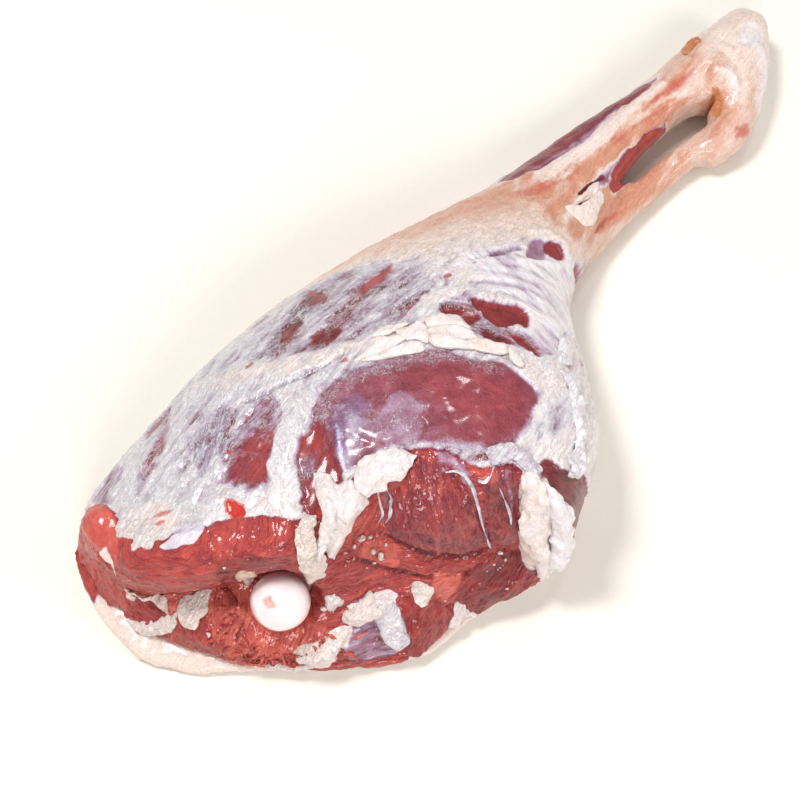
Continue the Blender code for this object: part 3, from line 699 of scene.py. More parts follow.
def paint_oval(paint):
    """The oval muscle on top, rosy under a thin film, and the windows and small folds beside it."""
    paint(OVAL, 1.6, 1.0, 1.6, cover=0.24, tone=0.44, warm=-0.3, frost=0.3, sleek=0.9, grain=-50)
    paint(OVAL_RED, 8, 3, cover=0.1, tone=0.5, warm=-0.05, frost=0.0)
    paint(OVAL_RIM, 5, 3, cover=0.36, warm=-0.4, frost=0.75)
    paint(OVAL_FILM, 0.8, 2, cover=0.42, warm=-0.35, frost=0.5, lift=0.4)
    paint(OVAL_VIOLET, 3, 2, cover=0.36, warm=-1.3, tone=0.3, frost=0.3)
    # the lilac film, with a painted highlight: whiter and bluer in this patch and in the streak below
    paint(OVAL_WHITE_GLINT, 4, 2, cover=0.42, warm=-0.8, frost=0.5)
    paint([(-111, 6, 1), (-116, 1, 2), (-125, -3, 2), (-131, -6, 1)], 2, 2, cover=0.55, warm=-0.5,
          frost=0.7)
    paint([(-112, -24, 2), (-106, -34, 3), (-99, -46, 3.5), (-93, -58, 3)], 2, 1.5, cover=0.6, warm=0.2,
          blush=0.25, frost=0.8)
    paint(POCKET, 1.5, 1.5, cover=-0.1, tone=0.46, warm=0.2, lift=-1.4, frost=0.2, sleek=0.8)
    paint(POCKET_SHEEN, 2, 2, cover=0.35, warm=-0.8, frost=0.8)
    paint(FILM_EDGE, 0.6, 0.4, cover=0.95, frost=0.2, lift=0.5)
    paint([(-58, 0, 2), (-50, -20, 3), (-50, -34, 3)], 3, 2, cover=0.6, frost=0.8)
    paint(WINDOW_FILM, 2, 2, cover=0.34, warm=0.0, tone=0.45, frost=0.6, grain=-65)
    paint(WINDOW, 0.9, 0.9, cover=-0.5, tone=0.36, warm=0.6, frost=-0.6, sleek=0.9, lift=-1.8)
    for spot in WINDOW_SPOTS:
        paint(spot, 1.2, 1.0, cover=-0.1, tone=0.38, warm=0.5, frost=0.1, lift=-1.2)
    paint([(-8, 10, 0.4), (5, 4, 1.2), (17, -1, 1.8)], 1.2, 0.6, cover=0.5, warm=-0.3, tone=0.3, lift=-1.0)
    paint(SMALL_LILAC, 1, 0.7, cover=0.42, warm=-0.5, tone=0.45, sleek=0.8, frost=0.3, lift=-0.5)
    paint(SMALL_WINDOW, 0.9, 0.6, cover=-0.3, tone=0.4, warm=0.3, frost=-0.6, sleek=0.8, lift=-1.5)
    paint([(12, 4, 0.6), (26, 4, 1.4), (37, -3, 1.4), (41, -13, 0.8)], 1.2, 0.6, cover=1.2, lift=1.4)
    paint([(8, -6, 0.6), (20, -14, 1.4), (30, -19, 1.2), (39, -18, 0.6)], 1.2, 0.6, cover=1.2, lift=1.2)


CREASES = [  # ends of the creases behind the knee
    ((-26, 2), (-4, -34)), ((-18, 4), (2, -34)), ((-10, 4), (8, -28)), ((-34, 8), (-14, -36)),
    ((-2, 8), (14, -24)),
]


def paint_ham_side(paint):
    """White fat down the ham side, with the dark muscle at its corner and the creases behind the knee, each
    with a painted shadow beside it.
    """
    x, y = paint.at[:, 0], paint.at[:, 1]
    flank = paint.mask * ease(-y - 0.55 * x, 62, 74) * ease(-x, 0, 25)
    paint.fill(flank, cover=1.35, warm=0.35, frost=0.3)
    paint([(-74, -60, 4), (-62, -66, 6), (-50, -66, 6)], 5, 3, cover=1.0, warm=0.0, frost=0.7)
    paint(SIDE_MUSCLE, 2.5, 2.5, cover=-0.8, tone=0.34, warm=0.2, frost=-0.6, lift=-0.4, grain=-60)
    paint([(40, -24, 2.5), (52, -23, 2.5), (60, -24, 1.5)], 1.5, 1, cover=-0.1, tone=0.5, frost=0.0)
    for start, end in CREASES:
        middle = ((start[0] + end[0]) / 2 + 3, (start[1] + end[1]) / 2)
        ridge = [(*start, 0.2), (*middle, 1.0), (*end, 0.2)]
        paint(ridge, 1.2, 0.8, lift=0.7)
        # painted shadow: a thinner, darker lilac stroke beside each crease ridge
        shadow_beside = [(u + 3, v + 2, half) for (u, v, _), half in zip(ridge, (0.3, 1.2, 0.4))]
        paint(shadow_beside, 1.2, 1, cover=0.72, warm=-0.2)


def paint_shank(paint, skin):
    """The shank, its tendon and the hock."""
    x, z = paint.at[:, 0], paint.at[:, 2]
    hock = skin * ease(x, 185, 205)
    hock_end = skin * ease(x, 192, 206)
    paint.use(plan_map(paint.at), skin * ease(x, 35, 60))
    paint.fill(paint.mask, cover=1.4, warm=1.75, frost=0.0)
    paint(SHANK_SALMON, 4, 3, warm=2.3, blush=0.36)
    streaks = cloud(paint.at, 6, 3, 21, (6, 1, 1))
    paint.fields["warm"] += 1.1 * paint.mask * streaks
    paint.fields["blush"] += 0.5 * paint.mask * np.clip(streaks, 0, 1)
    paint([(130, -1, 1), (148, -6, 2), (162, -11, 2), (177, -17, 2.5)], 2.5, 2, warm=1.2, blush=0.0)
    paint([(48, 24, 1), (54, 16, 3), (64, 11, 2.5), (80, 6, 2), (88, 4, 1)], 2.5, 2.5, blush=0.75)
    paint([(140, -2, 1), (151, -4, 2), (164, -8, 2), (176, -11, 1.5), (190, -12, 1)], 1.8, 1.5, blush=0.85)
    paint(SHANK_MUSCLE, 3.0, 1.5, cover=-0.1, tone=0.4, warm=0.0, grain=-15, frost=0.0, sleek=0.6,
          lift=-0.5)
    paint([(70, 27, 1), (98, 17, 1.5), (128, 11, 1)], 1.5, 1, cover=0.55)
    low = paint.mask * (1 - ease(z + 3 * paint.wobble - 0.4 * np.abs(x - 112), 1, 13))
    paint.fill(low, cover=1.25, warm=1.4)
    paint([(71, 20, 2.5), (90, 13, 3), (110, 8, 3), (128, 5.5, 3), (142, 2.5, 2.5), (160, -1, 2)], 2.5, 1.2,
          cover=1.05, warm=0.7, blush=0.0, frost=0.2, lift=0.5)
    paint([(84, -6, 2), (97, -6.5, 2.5), (112, -7.5, 2), (120, -10, 1)], 1.5, 1, cover=0.66, warm=0.0)
    paint([(94, -12, 2), (104, -11.5, 3.6), (118, -11.5, 3.8), (133, -12.5, 2.6), (146, -14.5, 0.8)], 1.4,
          0.8, cover=-0.6, tone=0.6, warm=0.4, frost=-0.6, grain=-5, lift=0.6)
    paint(TENDON_RECESS, 1.5, 0.8, -1.2, warm=2.2, blush=0.4)
    for knots in ([(94, -6, 0.5), (83, -4, 0.9), (74, -3, 1.0)],
                  [(82, -8, 0.3), (75, -7, 0.6), (67, -6, 0.5)]):
        paint(knots, 0.7, 0.5, cover=-0.3, tone=0.35, lift=-0.8)
    paint([(64, -19, 0.8), (75, -19, 0.7), (84, -21, 0.6), (93, -23, 0.4)], 0.8, 0.4, blush=0.8, amber=0.4,
          lift=-1.2)
    for knots in ([(62, 15, 0.4), (90, 7, 0.8), (120, 1, 0.3)],
                  [(100, 2, 0.3), (128, -3, 0.7), (150, -9, 0.3)]):
        paint(knots, 1.0, 1.0, blush=0.8)
    # painted shade: warm amber round the end of the slot
    paint(SLOT_WARM_SHADE, 3, 2, amber=0.75)
    paint([(150, -33, 1), (160, -37, 2), (168, -40, 1.5)], 2, 1.5, amber=0.5)
    # painted shade: darker amber in the sunk edge of the slot
    paint([(176, -26, 1), (172, -31, 1.6), (168, -34, 1)], 1, 0.5, amber=1.3, lift=-1.0)
    paint.fill(hock, warm=1.0)
    paint(HOCK_HOLLOW, 4, 2, -1.0, cover=1.0, warm=0.3)
    up = paint.normal[:, 2]
    paint.fill(hock_end * ease(up, 0.1, 0.25) * (1 - ease(up, 0.35, 0.6)), amber=0.4)
    paint([(162, -48, 2), (168, -51, 3)], 2, 1.5, blush=0.8)
    paint([(188, -10, 3), (204, -14, 4), (214, -12, 3)], 3, 3, blush=0.2)
    paint([(224, -28, 1), (206, -24, 1.5), (203, -14, 1)], 2, 1.5, lift=-1.2, blush=0.15)
    paint([(196, -16, 1), (192, -32, 2), (176, -43, 1)], 2, 1.5, lift=-1.3, warm=1.1)
    paint([(214, -32, 1), (203, -42, 2), (184, -50, 2)], 2.5, 1.5, lift=1.0, warm=0.3)
    paint([(184, -22, 1), (186, -30, 2.5), (178, -38, 1)], 2.5, 1.5, lift=1.0, warm=0.3)


def paint_face(paint, face):
    """The cut: bare muscle in bundles, with seams and fat between."""
    paint.use(face_map(paint.at), face)
    paint.fill(face, cover=-0.9, tone=0.58, warm=0.7, frost=-0.6, grain=0)
    paint_face_front(paint)
    paint_face_joint(paint)
    paint_face_blocks(paint)
    paint_face_low(paint)
    # painted light: the whole cut a little brighter, as if lit from the front
    paint.fields["tone"] += 0.04 * face


def paint_face_front(paint):
    """The knee end of the cut: the thick front muscle, with painted shade on its lower band, and the open gap
    below it.
    """
    paint(KNEE_SKIN, 2, 1.5, cover=-0.3, tone=0.66, grain=80)
    paint(FRONT_MUSCLE, 1.5, 0.8, 1.0, tone=0.6, grain=25)
    # painted shade: the lower band of the front muscle darker
    paint(FRONT_SHADE, 1.2, 0.8, -0.6, tone=0.4, grain=10)
    paint(KNEE_NUB, 0.8, 0.4, 1.2, tone=0.82, cover=-0.5, sleek=0.9)
    paint([(19, 46, 1.2), (23, 49, 1.6), (24, 44, 0.8)], 0.7, 0.5, cover=1.4, warm=1.1, amber=0.4, lift=0.8)
    paint(CAVITY, 1.2, 0.6, -1.5, tone=0.5, cover=-0.9)
    paint(CAVITY_FAT, 1.0, 1.0, 1.0, cover=1.5, warm=0.8)
    for outline in MEMBRANES:
        paint(outline, 0.7, 0.7, 0.8, cover=1.5, warm=1.0, lift=0.6)
    paint(FRONT_SPIKE, 0.6, 0.4, 1.0, cover=-0.5, tone=0.85)


def paint_face_joint(paint):
    """Torn muscle and fibres around the ball."""
    paint(LOWER_MUSCLE, 1.5, 1, 1.0, tone=0.58, grain=70)
    paint(FIBRES, 2, 1.5, tone=0.9, grain=60)
    paint(JOINT_FAT, 1.5, 1.5, cover=0.8, warm=1.1, amber=0.5)


def paint_face_blocks(paint):
    """The big blocks of the inside round and the lobes of fat at the ham corner."""
    paint(BLOCK, 1.2, 0.6, 1.8, tone=0.5, warm=0.15, grain=98)
    paint([(168, 86, 0.5), (166, 78, 1.2), (166, 56, 0.6)], 1, 0.6, tone=0.7, lift=0.6)
    paint(BLOCK_FACET, 1.2, 0.8, 0.8, tone=0.72, grain=60)
    paint(CHUNK, 1, 0.7, 1.4, tone=0.92, amber=0.12)
    paint(UNDER_MUSCLE, 1.2, 0.8, -0.6, tone=0.62)
    paint(MIDDLE_MUSCLE, 1.2, 0.8, 1.0, tone=0.62, grain=-10)
    # painted shade: the sunk seams between the blocks are painted dark, as the shade in them
    paint([(144, 66, 0.8), (155, 60, 1.3), (169, 51.5, 1.5), (181, 47.5, 1.3), (190, 50, 0.6)], 1, 0.7,
          tone=0.2, lift=-1.8)
    paint([(134, 57, 0.6), (142, 50, 1.3), (152, 46, 1.4), (165, 44, 0.8)], 1, 0.7, tone=0.2, lift=-1.6)
    paint(SECOND_BLOCK, 1, 0.6, 1.2, tone=0.44, warm=0.2, cover=-0.8, grain=95)
    paint(BRIGHT_FACET, 1, 0.8, tone=0.85, cover=0.0)
    paint([(168, 93, 3), (177, 90, 3), (182, 82, 2.2), (186, 68, 1.6), (189, 53, 1.2)], 3, 1.2, cover=0.55,
          warm=-0.2, lift=0.6)
    paint([(195, 90, 2), (198, 76, 2), (199, 64, 1)], 2.5, 1.2, cover=0.5, warm=-0.2, lift=0.4)
    paint([(143, 92, 2), (145, 82, 2), (142, 73, 1)], 2.5, 1.2, cover=0.45, warm=-0.1)
    paint(HAM_MUSCLE, 1.2, 0.8, 1.6, tone=0.34, warm=0.5, grain=35)
    paint(CREAM_LOBE, 1.0, 1.0, 1.8, cover=1.5, warm=0.9)
    paint(WHITE_LOBE, 1.2, 1.0, 1.6, cover=1.4, warm=0.2, frost=0.3)


def paint_face_low(paint):
    """The foot of the cut: silverskin, scraps of fat and the small muscles under the blocks."""
    paint(BRIGHT_MUSCLE, 0.9, 0.6, 1.0, tone=0.95)
    paint(CORNER_MUSCLE, 1.2, 0.8, 1.6, tone=0.5, grain=75)
    paint(LOW_STRIP, 1, 1, 0.6, tone=0.6)
    paint(SILVERSKIN, 1.2, 0.8, 0.8, cover=0.42, tone=0.4, warm=-0.2, frost=0.1)
    paint(SILVER_FAT, 1.2, 1.0, 1.2, cover=1.0, warm=0.15, frost=0.6)
    paint(WHITE_FAT, 0.9, 0.9, 1.2, cover=1.5, warm=0.5)
    paint(CREAM_FAT, 0.9, 0.8, 1.2, cover=1.5, warm=0.8)
    paint(SEAM_FAT, 0.9, 0.9, 0.8, cover=1.2, warm=1.0)


FAT_RISE = 0.9  # mm, how far fat stands over bare muscle


def rumple_skin(paint, skin, grain, fat):
    """Swellings, folds and strands of the skin, with painted shade and light on the folds: darker in their
    hollows, whiter on their ridges.
    """
    frost = np.clip(paint.fields["frost"], 0, 1)
    sleek = paint.fields["sleek"]
    folds = 0.5 - np.abs(cloud(grain, 9, 3, 4, (3, 1, 1)))
    strands = cloud(grain, 3.0, 3, 15, (5, 1, 1))
    paint.lift += FAT_RISE * skin * (fat - 0.5)
    paint.lift += skin * (0.6 * cloud(paint.at, 16, 3, 3) + (1 - 0.6 * sleek) * (0.6 + 0.9 * fat) * folds)
    paint.lift += skin * (1 - 0.8 * sleek) * (0.35 + 0.2 * frost) * strands
    # painted shade and light: the colour is darker and more violet in the hollows of the folds and strands,
    # whiter on their ridges
    paint.fields["cover"] += skin * (1 - sleek) * (0.8 * (folds - 0.32) + 0.3 * strands)


def rumple_face(paint, face, grain, fat):
    """Bundles of bare muscle and lumps of fat on the cut."""
    bare = face * (1 - fat) * (1 - 0.7 * paint.fields["sleek"])
    bundles = np.abs(cloud(grain, 7.0, 3, 5, (2.5, 1, 1)))
    paint.lift += bare * (0.8 - 1.8 * bundles + 0.35 * cloud(paint.at, 2.6, 3, 6))
    paint.lift += face * fat * (0.5 * cloud(paint.at, 4.0, 3, 12))


def rumple(paint, skin, face):
    """Lifts the surface unevenly, and fat over bare muscle."""
    grain = paint.grain_at(np.arange(len(paint.at)), paint.patch)
    fat = ease(paint.fields["cover"], 0.2, 1.1)
    rumple_skin(paint, skin, grain, fat)
    rumple_face(paint, face, grain, fat)


# ---- materials: nodes ----
def linear(value):
    """A linear colour value from a screen value of 0 to 255."""
    value /= 255
    return value / 12.92 if value <= 0.04045 else ((value + 0.055) / 1.055) ** 2.4


def colour(red, green, blue):
    """A shader colour from screen values of 0 to 255."""
    return (linear(red), linear(green), linear(blue), 1.0)


class Look:
    """A new material; each method that adds a node returns one of its outputs."""

    def __init__(self, name):
        self.material = bpy.data.materials.new(name)
        self.material.use_nodes = True
        self.tree = self.material.node_tree
        self.shader = self.tree.nodes["Principled BSDF"]
        coords = self.tree.nodes.new("ShaderNodeTexCoord").outputs["Object"]
        self.here = self.times(coords, (1 / MM, 1 / MM, 1 / MM))  # position in mm in the frame

    def feed(self, socket, value):
        """Links an output to the socket or sets a plain value on it."""
        if isinstance(value, bpy.types.NodeSocket):
            self.tree.links.new(value, socket)
        else:
            socket.default_value = value

    def node(self, kind, inputs, output=0, **settings):
        """Adds a node; inputs are outputs of other nodes or plain values."""
        made = configured(self.tree.nodes.new(kind), **settings)
        for key, value in inputs.items():
            self.feed(made.inputs[key], value)
        return made.outputs[output]

    def field(self, name, output="Fac"):
        """What the piece stores under this name."""
        return self.node("ShaderNodeAttribute", {}, output, attribute_name=name)

    def times(self, vector, scale):
        """A vector scaled along each axis."""
        return self.node("ShaderNodeVectorMath", {0: vector, 1: scale}, operation="MULTIPLY")

    def speckle(self, where, size, detail=4.0, rough=0.55, twist=0.0, stretch=(1, 1, 1)):
        """Noise of 0 to 1 with features of that size in mm."""
        spot = self.times(where, tuple(1 / (size * s) for s in stretch))
        return self.node("ShaderNodeTexNoise", {"Vector": spot, "Scale": 1.0, "Detail": detail,
                                                "Roughness": rough, "Distortion": twist})

    def calc(self, operation, *values):
        """A sum, product or other operation of Math."""
        return self.node("ShaderNodeMath", dict(enumerate(values)), operation=operation)

    def weighted(self, base, *terms):
        """base plus each (noise, amount), with the noise centred on zero."""
        total = base
        for value, amount in terms:
            total = self.calc("ADD", total, self.calc("MULTIPLY_ADD", value, amount, -0.5 * amount))
        return total

    def ramp(self, value, stops):
        """A colour ramp; stops are (position, red, green, blue)."""
        shade = self.node("ShaderNodeValToRGB", {0: value})
        band = shade.node.color_ramp
        while len(band.elements) < len(stops):
            band.elements.new(0.5)
        for element, (position, *screen) in zip(band.elements, stops):
            element.position = position
            element.color = colour(*screen)
        return shade

    def level(self, value, low, high):
        """0 at low, 1 at high, smoothly between."""
        return self.node("ShaderNodeMapRange", {"Value": value, "From Min": low, "From Max": high},
                         interpolation_type="SMOOTHSTEP")

    def blend(self, share, a, b):
        """Colour a where the share is 0, colour b where it is 1."""
        return self.node("ShaderNodeMix", {0: share, 6: a, 7: b}, 2, data_type="RGBA")

    def calm(self, value, share):
        """The noise with its swing about 0.5 multiplied by the share."""
        return self.calc("MULTIPLY_ADD", self.calc("SUBTRACT", value, 0.5), share, 0.5)

    def threads(self, value, width):
        """1 on thin lines where the noise crosses 0.5, 0 between them."""
        gap = self.calc("ABSOLUTE", self.calc("SUBTRACT", value, 0.5))
        return self.calc("SUBTRACT", 1.0, self.level(gap, 0.0, width))

    def moist(self, subsurface, depth, coat, coat_roughness):
        """The settings that are the same all over a wet surface; depth is in mm."""
        for name, value in (("Subsurface Weight", subsurface), ("Subsurface Radius", (1.0, 0.45, 0.32)),
                            ("Subsurface Scale", depth * MM), ("Coat Weight", coat),
                            ("Coat Roughness", coat_roughness), ("IOR", 1.4)):
            self.shader.inputs[name].default_value = value

    def finish(self, shade, roughness, height=None):
        """Sets colour, roughness and a bump from a height in mm, and returns the material."""
        self.feed(self.shader.inputs["Base Color"], shade)
        self.feed(self.shader.inputs["Roughness"], roughness)
        if height is not None:
            bump = self.node("ShaderNodeBump", {"Height": height, "Strength": 1.0, "Distance": MM})
            self.feed(self.shader.inputs["Normal"], bump)
        return self.material


# ---- materials: flesh, cartilage and floor; the stops of a ramp are (position, red, green, blue) ----
MUSCLE_RED = [(0.0, 70, 12, 18), (0.25, 116, 28, 33), (0.5, 158, 50, 50), (0.75, 188, 70, 62),
              (1.0, 214, 102, 86)]
MUSCLE_ROSE = [(0.0, 64, 18, 30), (0.25, 104, 34, 46), (0.5, 142, 54, 65), (0.75, 172, 84, 92),
               (1.0, 202, 122, 124)]
FILM = [(0.1, 164, 104, 134), (0.45, 186, 160, 188), (0.75, 212, 198, 210), (1.0, 242, 234, 237)]
VIOLET_FILM = [(0.1, 122, 80, 128), (0.45, 158, 142, 186), (1.0, 206, 206, 226)]
CREAM = colour(238, 216, 204)
TAN = colour(212, 150, 122)
GLINT_WHITE = colour(250, 246, 250)
# painted highlight: the colour of the white glint threads
BLUSH = colour(198, 84, 72)
BLOOD_RED = colour(200, 44, 30)
AMBER = colour(204, 122, 62)
CARTILAGE = [(0.0, 238, 208, 206), (0.5, 242, 226, 228), (1.0, 246, 238, 240)]
PIT = colour(214, 158, 142)
PAPER = [(0.0, 236, 230, 220), (1.0, 240, 235, 226)]


def painted_glints(look, grain, straight):
    """Painted highlights: thin white threads standing for the glints of the wet, crinkled film; curled, and
    along the grain where the surface is rough.
    """
    hairs = look.threads(look.speckle(grain, 2.8, 3, 0.6, 1.0, (4, 1, 1)), 0.05)
    curls = look.threads(look.speckle(look.here, 4.2, 3, 0.6, 1.8), 0.06)
    lines = look.calc("MAXIMUM", look.calc("MULTIPLY", hairs, straight), curls)
    amount = look.weighted(look.field("frost"), (look.speckle(look.here, 6, 3, 0.6), 1.4))
    return look.calc("MULTIPLY", lines, look.level(amount, 0.2, 0.9))


def muscle_colour(look, tone, warm):
    """Rosy to red muscle, dark to bright."""
    rose = look.ramp(tone, MUSCLE_ROSE)
    return look.blend(look.level(warm, -0.2, 0.5), rose, look.ramp(tone, MUSCLE_RED))


def white_colour(look, cover, warm):
    """Violet to lilac film where the cover is thin, white, cream or tan fat where it is thick."""
    film = look.ramp(cover, FILM)
    film = look.blend(look.level(warm, -1.0, -0.1), look.ramp(cover, VIOLET_FILM), film)
    cream = look.blend(look.level(warm, 0.9, 2.0), CREAM, TAN)
    fat = look.blend(look.level(warm, 0.0, 1.0), film, cream)
    return look.blend(look.level(cover, 0.5, 1.0), film, fat)


def stained(look, shade, blush, amber):
    """The colour with blushes, blood and amber patches: dried ones, and the painted warm shade round the
    slot.
    """
    shade = look.blend(look.calc("MULTIPLY", look.level(blush, 0.25, 1.0), 0.8), shade, BLUSH)
    shade = look.blend(look.level(blush, 1.2, 1.9), shade, BLOOD_RED)
    return look.blend(look.calc("MULTIPLY", look.level(amber, 0.4, 0.95), 0.85), shade, AMBER)


def flesh():
    """Muscle, the film over it and fat, mixed by the fields of the piece."""
    look = Look("flesh")
    here, grain = look.here, look.field("grain", "Vector")
    rough_share = look.calc("SUBTRACT", 1.0, look.field("sleek"))
    streak = look.calm(look.speckle(grain, 2.2, 5, 0.6, 0.5, (8, 1, 1)), rough_share)
    hair = look.calm(look.speckle(grain, 0.75, 3, 0.6, 0.8, (6, 1, 1)), rough_share)
    clump = look.speckle(here, 9, 4, 0.55)
    blotch = look.speckle(here, 3.2, 4, 0.6)
    fine = look.speckle(here, 0.9, 2, 0.6)
    cracks = look.threads(look.speckle(grain, 2.2, 3, 0.55, 0.3, (6, 1, 1)), 0.04)
    cracks = look.calc("MULTIPLY", cracks, rough_share)
    frost = painted_glints(look, grain, rough_share)
    cover = look.weighted(look.field("cover"), (streak, 0.9), (clump, 0.4), (blotch, 0.25), (hair, 0.2))
    tone = look.weighted(look.field("tone"), (streak, 0.6), (clump, 0.5), (blotch, 0.25), (hair, 0.3))
    tone = look.calc("SUBTRACT", tone, look.calc("MULTIPLY", cracks, 0.13))
    warm = look.weighted(look.field("warm"), (clump, 0.9), (streak, 0.25))
    blush = look.weighted(look.field("blush"), (streak, 0.6), (clump, 0.5), (blotch, 0.3))
    amber = look.weighted(look.field("amber"), (clump, 0.5), (blotch, 0.4))
    muscle = muscle_colour(look, tone, warm)
    shade = look.blend(look.level(cover, 0.08, 0.8), muscle, white_colour(look, cover, warm))
    # painted highlight: the white glint threads mixed into the colour
    shade = look.blend(look.calc("MULTIPLY", frost, 0.7), shade, GLINT_WHITE)
    height = look.weighted(0.0, (streak, 1.6), (blotch, 1.2), (fine, 0.5), (hair, 0.6))
    height = look.calc("ADD", height, look.calc("MULTIPLY", frost, 0.45))
    height = look.calc("SUBTRACT", height, look.calc("MULTIPLY", cracks, 0.35))
    look.moist(0.22, 2.0, 0.5, 0.13)
    return look.finish(stained(look, shade, blush, amber),
                       look.weighted(0.4, (fine, 0.35), (blotch, 0.3)), height)


def cartilage():
    """The ball of the hip joint: smooth, wet, bluish white."""
    look = Look("cartilage")
    clump = look.speckle(look.here, 10, 3, 0.5)
    fine = look.speckle(look.here, 1.4, 3, 0.6)
    shade = look.ramp(look.weighted(0.5, (clump, 0.8), (fine, 0.12)), CARTILAGE)
    pit = look.level(look.weighted(look.field("pit"), (fine, 1.2)), 0.1, 1.4)
    look.moist(0.4, 4.0, 1.0, 0.1)
    return look.finish(look.blend(pit, shade, PIT), look.weighted(0.3, (fine, 0.1)),
                       look.weighted(0.0, (clump, 0.3), (fine, 0.06)))


def floor_paper():
    """The pale floor."""
    look = Look("floor")
    return look.finish(look.ramp(look.speckle(look.here, 3, 3, 0.5), PAPER), 0.8)


# ---- pieces that stand for the CAD solids ----
LEG_VOXEL = 1.3  # mm
RIM_VOXEL = 1.6  # mm
BALL_VOXEL = 0.8  # mm
UNDERSIDE_SHARE = 0.7  # of its faces are kept


def finish_piece(piece, material, slot, *replaced):
    """Gives the piece its material and its place on the one body."""
    piece.data.materials.clear()
    piece.data.materials.append(material)
    shade_smooth(piece)
    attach(piece, "root")
    if replaced:
        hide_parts(*replaced)


def leg():
    """The whole leg, replacing the CAD meat."""
    piece = dense_copy("meat", "leg", LEG_VOXEL)
    thin_underside(piece, UNDERSIDE_SHARE)
    refine_face(piece)
    paint = Painter(piece)
    face = face_share(paint.at)
    skin = 1 - face
    paint_skin(paint, skin)
    paint_shank(paint, skin)
    paint_face(paint, face)
    rumple(paint, skin, face)
    paint.swell()
    paint.write()
    finish_piece(piece, FLESH, "meat", "meat")
    return piece


def fat_rim():
    """The layer of outer fat, replacing its CAD solid."""
    piece = dense_copy("fat_cover", "fat_rim", RIM_VOXEL)
    paint = Painter(piece)
    paint.use(face_map(paint.at), paint.mask)
    paint.fill(paint.mask, cover=1.5, warm=0.85, sleek=0.6, amber=0.15)
    for outline in (KNEE_SKIN, RIM_KNEE):
        paint(outline, 1.5, 2, cover=-0.3, tone=0.66, warm=0.7, lift=-0.4)
    paint(RIM_MEAT, 1, 1.5, cover=-0.3, tone=0.64)
    paint.lift += 0.8 * cloud(paint.at, 14, 3, 8)
    paint.lift += 0.4 * cloud(paint.at, 4, 3, 9)
    paint.at = paint.swell()
    paint.write()
    finish_piece(piece, FLESH, "fat", "fat_cover")


def hip_ball():
    """The ball of the joint and its neck, replacing the CAD bone."""
    piece = dense_copy("femur", "hip_ball", BALL_VOXEL, smoothing=6)
    at, normal = points_of(piece)
    from_pit = np.linalg.norm((at - BALL_PIT) / BALL_PIT_SHAPE, axis=1)
    pit = 1 - ease(from_pit + cloud(at, 3, 2, 14), 1.5, 3.5)
    move_points(piece, at + normal * (0.25 * cloud(at, 9, 2, 10) - 0.9 * pit)[:, None])
    write_field(piece, "pit", pit)
    finish_piece(piece, cartilage(), "bone", "femur")


# ---- separate pieces: where they lie and what they are made of ----
UP_AND_OUT = np.array((-0.35, -0.24, 0.91))
FACE_OUT = np.array((FACE_RUN[1], -FACE_RUN[0], 0.0))
OUTSIDE = 80.0  # mm, from where the cut is looked at
ABOVE = 200.0  # mm, from where the upper side is looked at
LEAST_HEIGHT = 0.2  # mm above the floor
SUNK = 0.8  # mm, how deep the underside of a flake lies in the leg
SHEET_STEPS = (8, 6)  # along a rail and from rail to rail


class Ground:
    """The finished leg as the surface that pieces are laid on; everything in mm."""

    def __init__(self, piece):
        self.tree = BVHTree.FromObject(piece, bpy.context.evaluated_depsgraph_get())

    def near(self, x, y, z):
        """The nearest point of the leg; lifted up and away from the cut."""
        spot = self.tree.find_nearest(Vector((x, y, z)) * MM)[0]
        return np.array(spot) / MM, UP_AND_OUT

    def top(self, x, y):
        """The point above (x, y) in plan; lifted straight up."""
        spot = self.tree.ray_cast(Vector((x, y, ABOVE)) * MM, Vector((0, 0, -1)))[0]
        spot = np.array(spot) / MM if spot else self.near(x, y, 50)[0]
        return spot, np.array((0.0, 0.0, 1.0))

    def cut(self, along, height):
        """The point of the cut face this far along it and this high; lifted straight out."""
        start = np.array((*np.add(FACE_CORNER, np.multiply(FACE_RUN, along)), height))
        spot = self.tree.ray_cast(Vector(start + FACE_OUT * OUTSIDE) * MM, Vector(-FACE_OUT))[0]
        spot = np.array(spot) / MM if spot else self.near(*start)[0]
        return spot, FACE_OUT


def lifted(land, knots):
    """Points of the ground moved out; the last number of each knot is how far."""
    found = []
    for *where, lift in knots:
        spot, normal = land(*where)
        found.append(spot + normal * lift)
    return found


def ring_faces(rows, sides):
    """Faces between closed rings of points, with a fan at each end to one more point."""
    faces = []
    for row in range(rows - 1):
        for side in range(sides):
            after = (side + 1) % sides
            faces.append((row * sides + side, row * sides + after, (row + 1) * sides + after,
                          (row + 1) * sides + side))
    last = (rows - 1) * sides
    for side in range(sides):
        after = (side + 1) % sides
        faces.append((rows * sides, after, side))
        faces.append((rows * sides + 1, last + side, last + after))
    return faces


def shell_faces(high, wide):
    """Faces of a closed sheet: a grid of points, the same grid below it and the rim between them."""
    count = high * wide
    faces = []
    for i in range(high - 1):
        for j in range(wide - 1):
            a, b = i * wide + j, i * wide + j + 1
            faces.append((a, b, b + wide, a + wide))
            faces.append((count + a, count + a + wide, count + b + wide, count + b))
    rim = list(range(wide)) + [i * wide + wide - 1 for i in range(1, high)]
    rim += [(high - 1) * wide + j for j in range(wide - 2, -1, -1)]
    rim += [i * wide for i in range(high - 2, 0, -1)]
    for a, b in zip(rim, rim[1:] + rim[:1]):
        faces.append((b, a, count + a, count + b))
    return faces


def unit(vectors):
    """The vectors scaled to length 1."""
    return vectors / (np.linalg.norm(vectors, axis=-1)[..., None] + 1e-9)


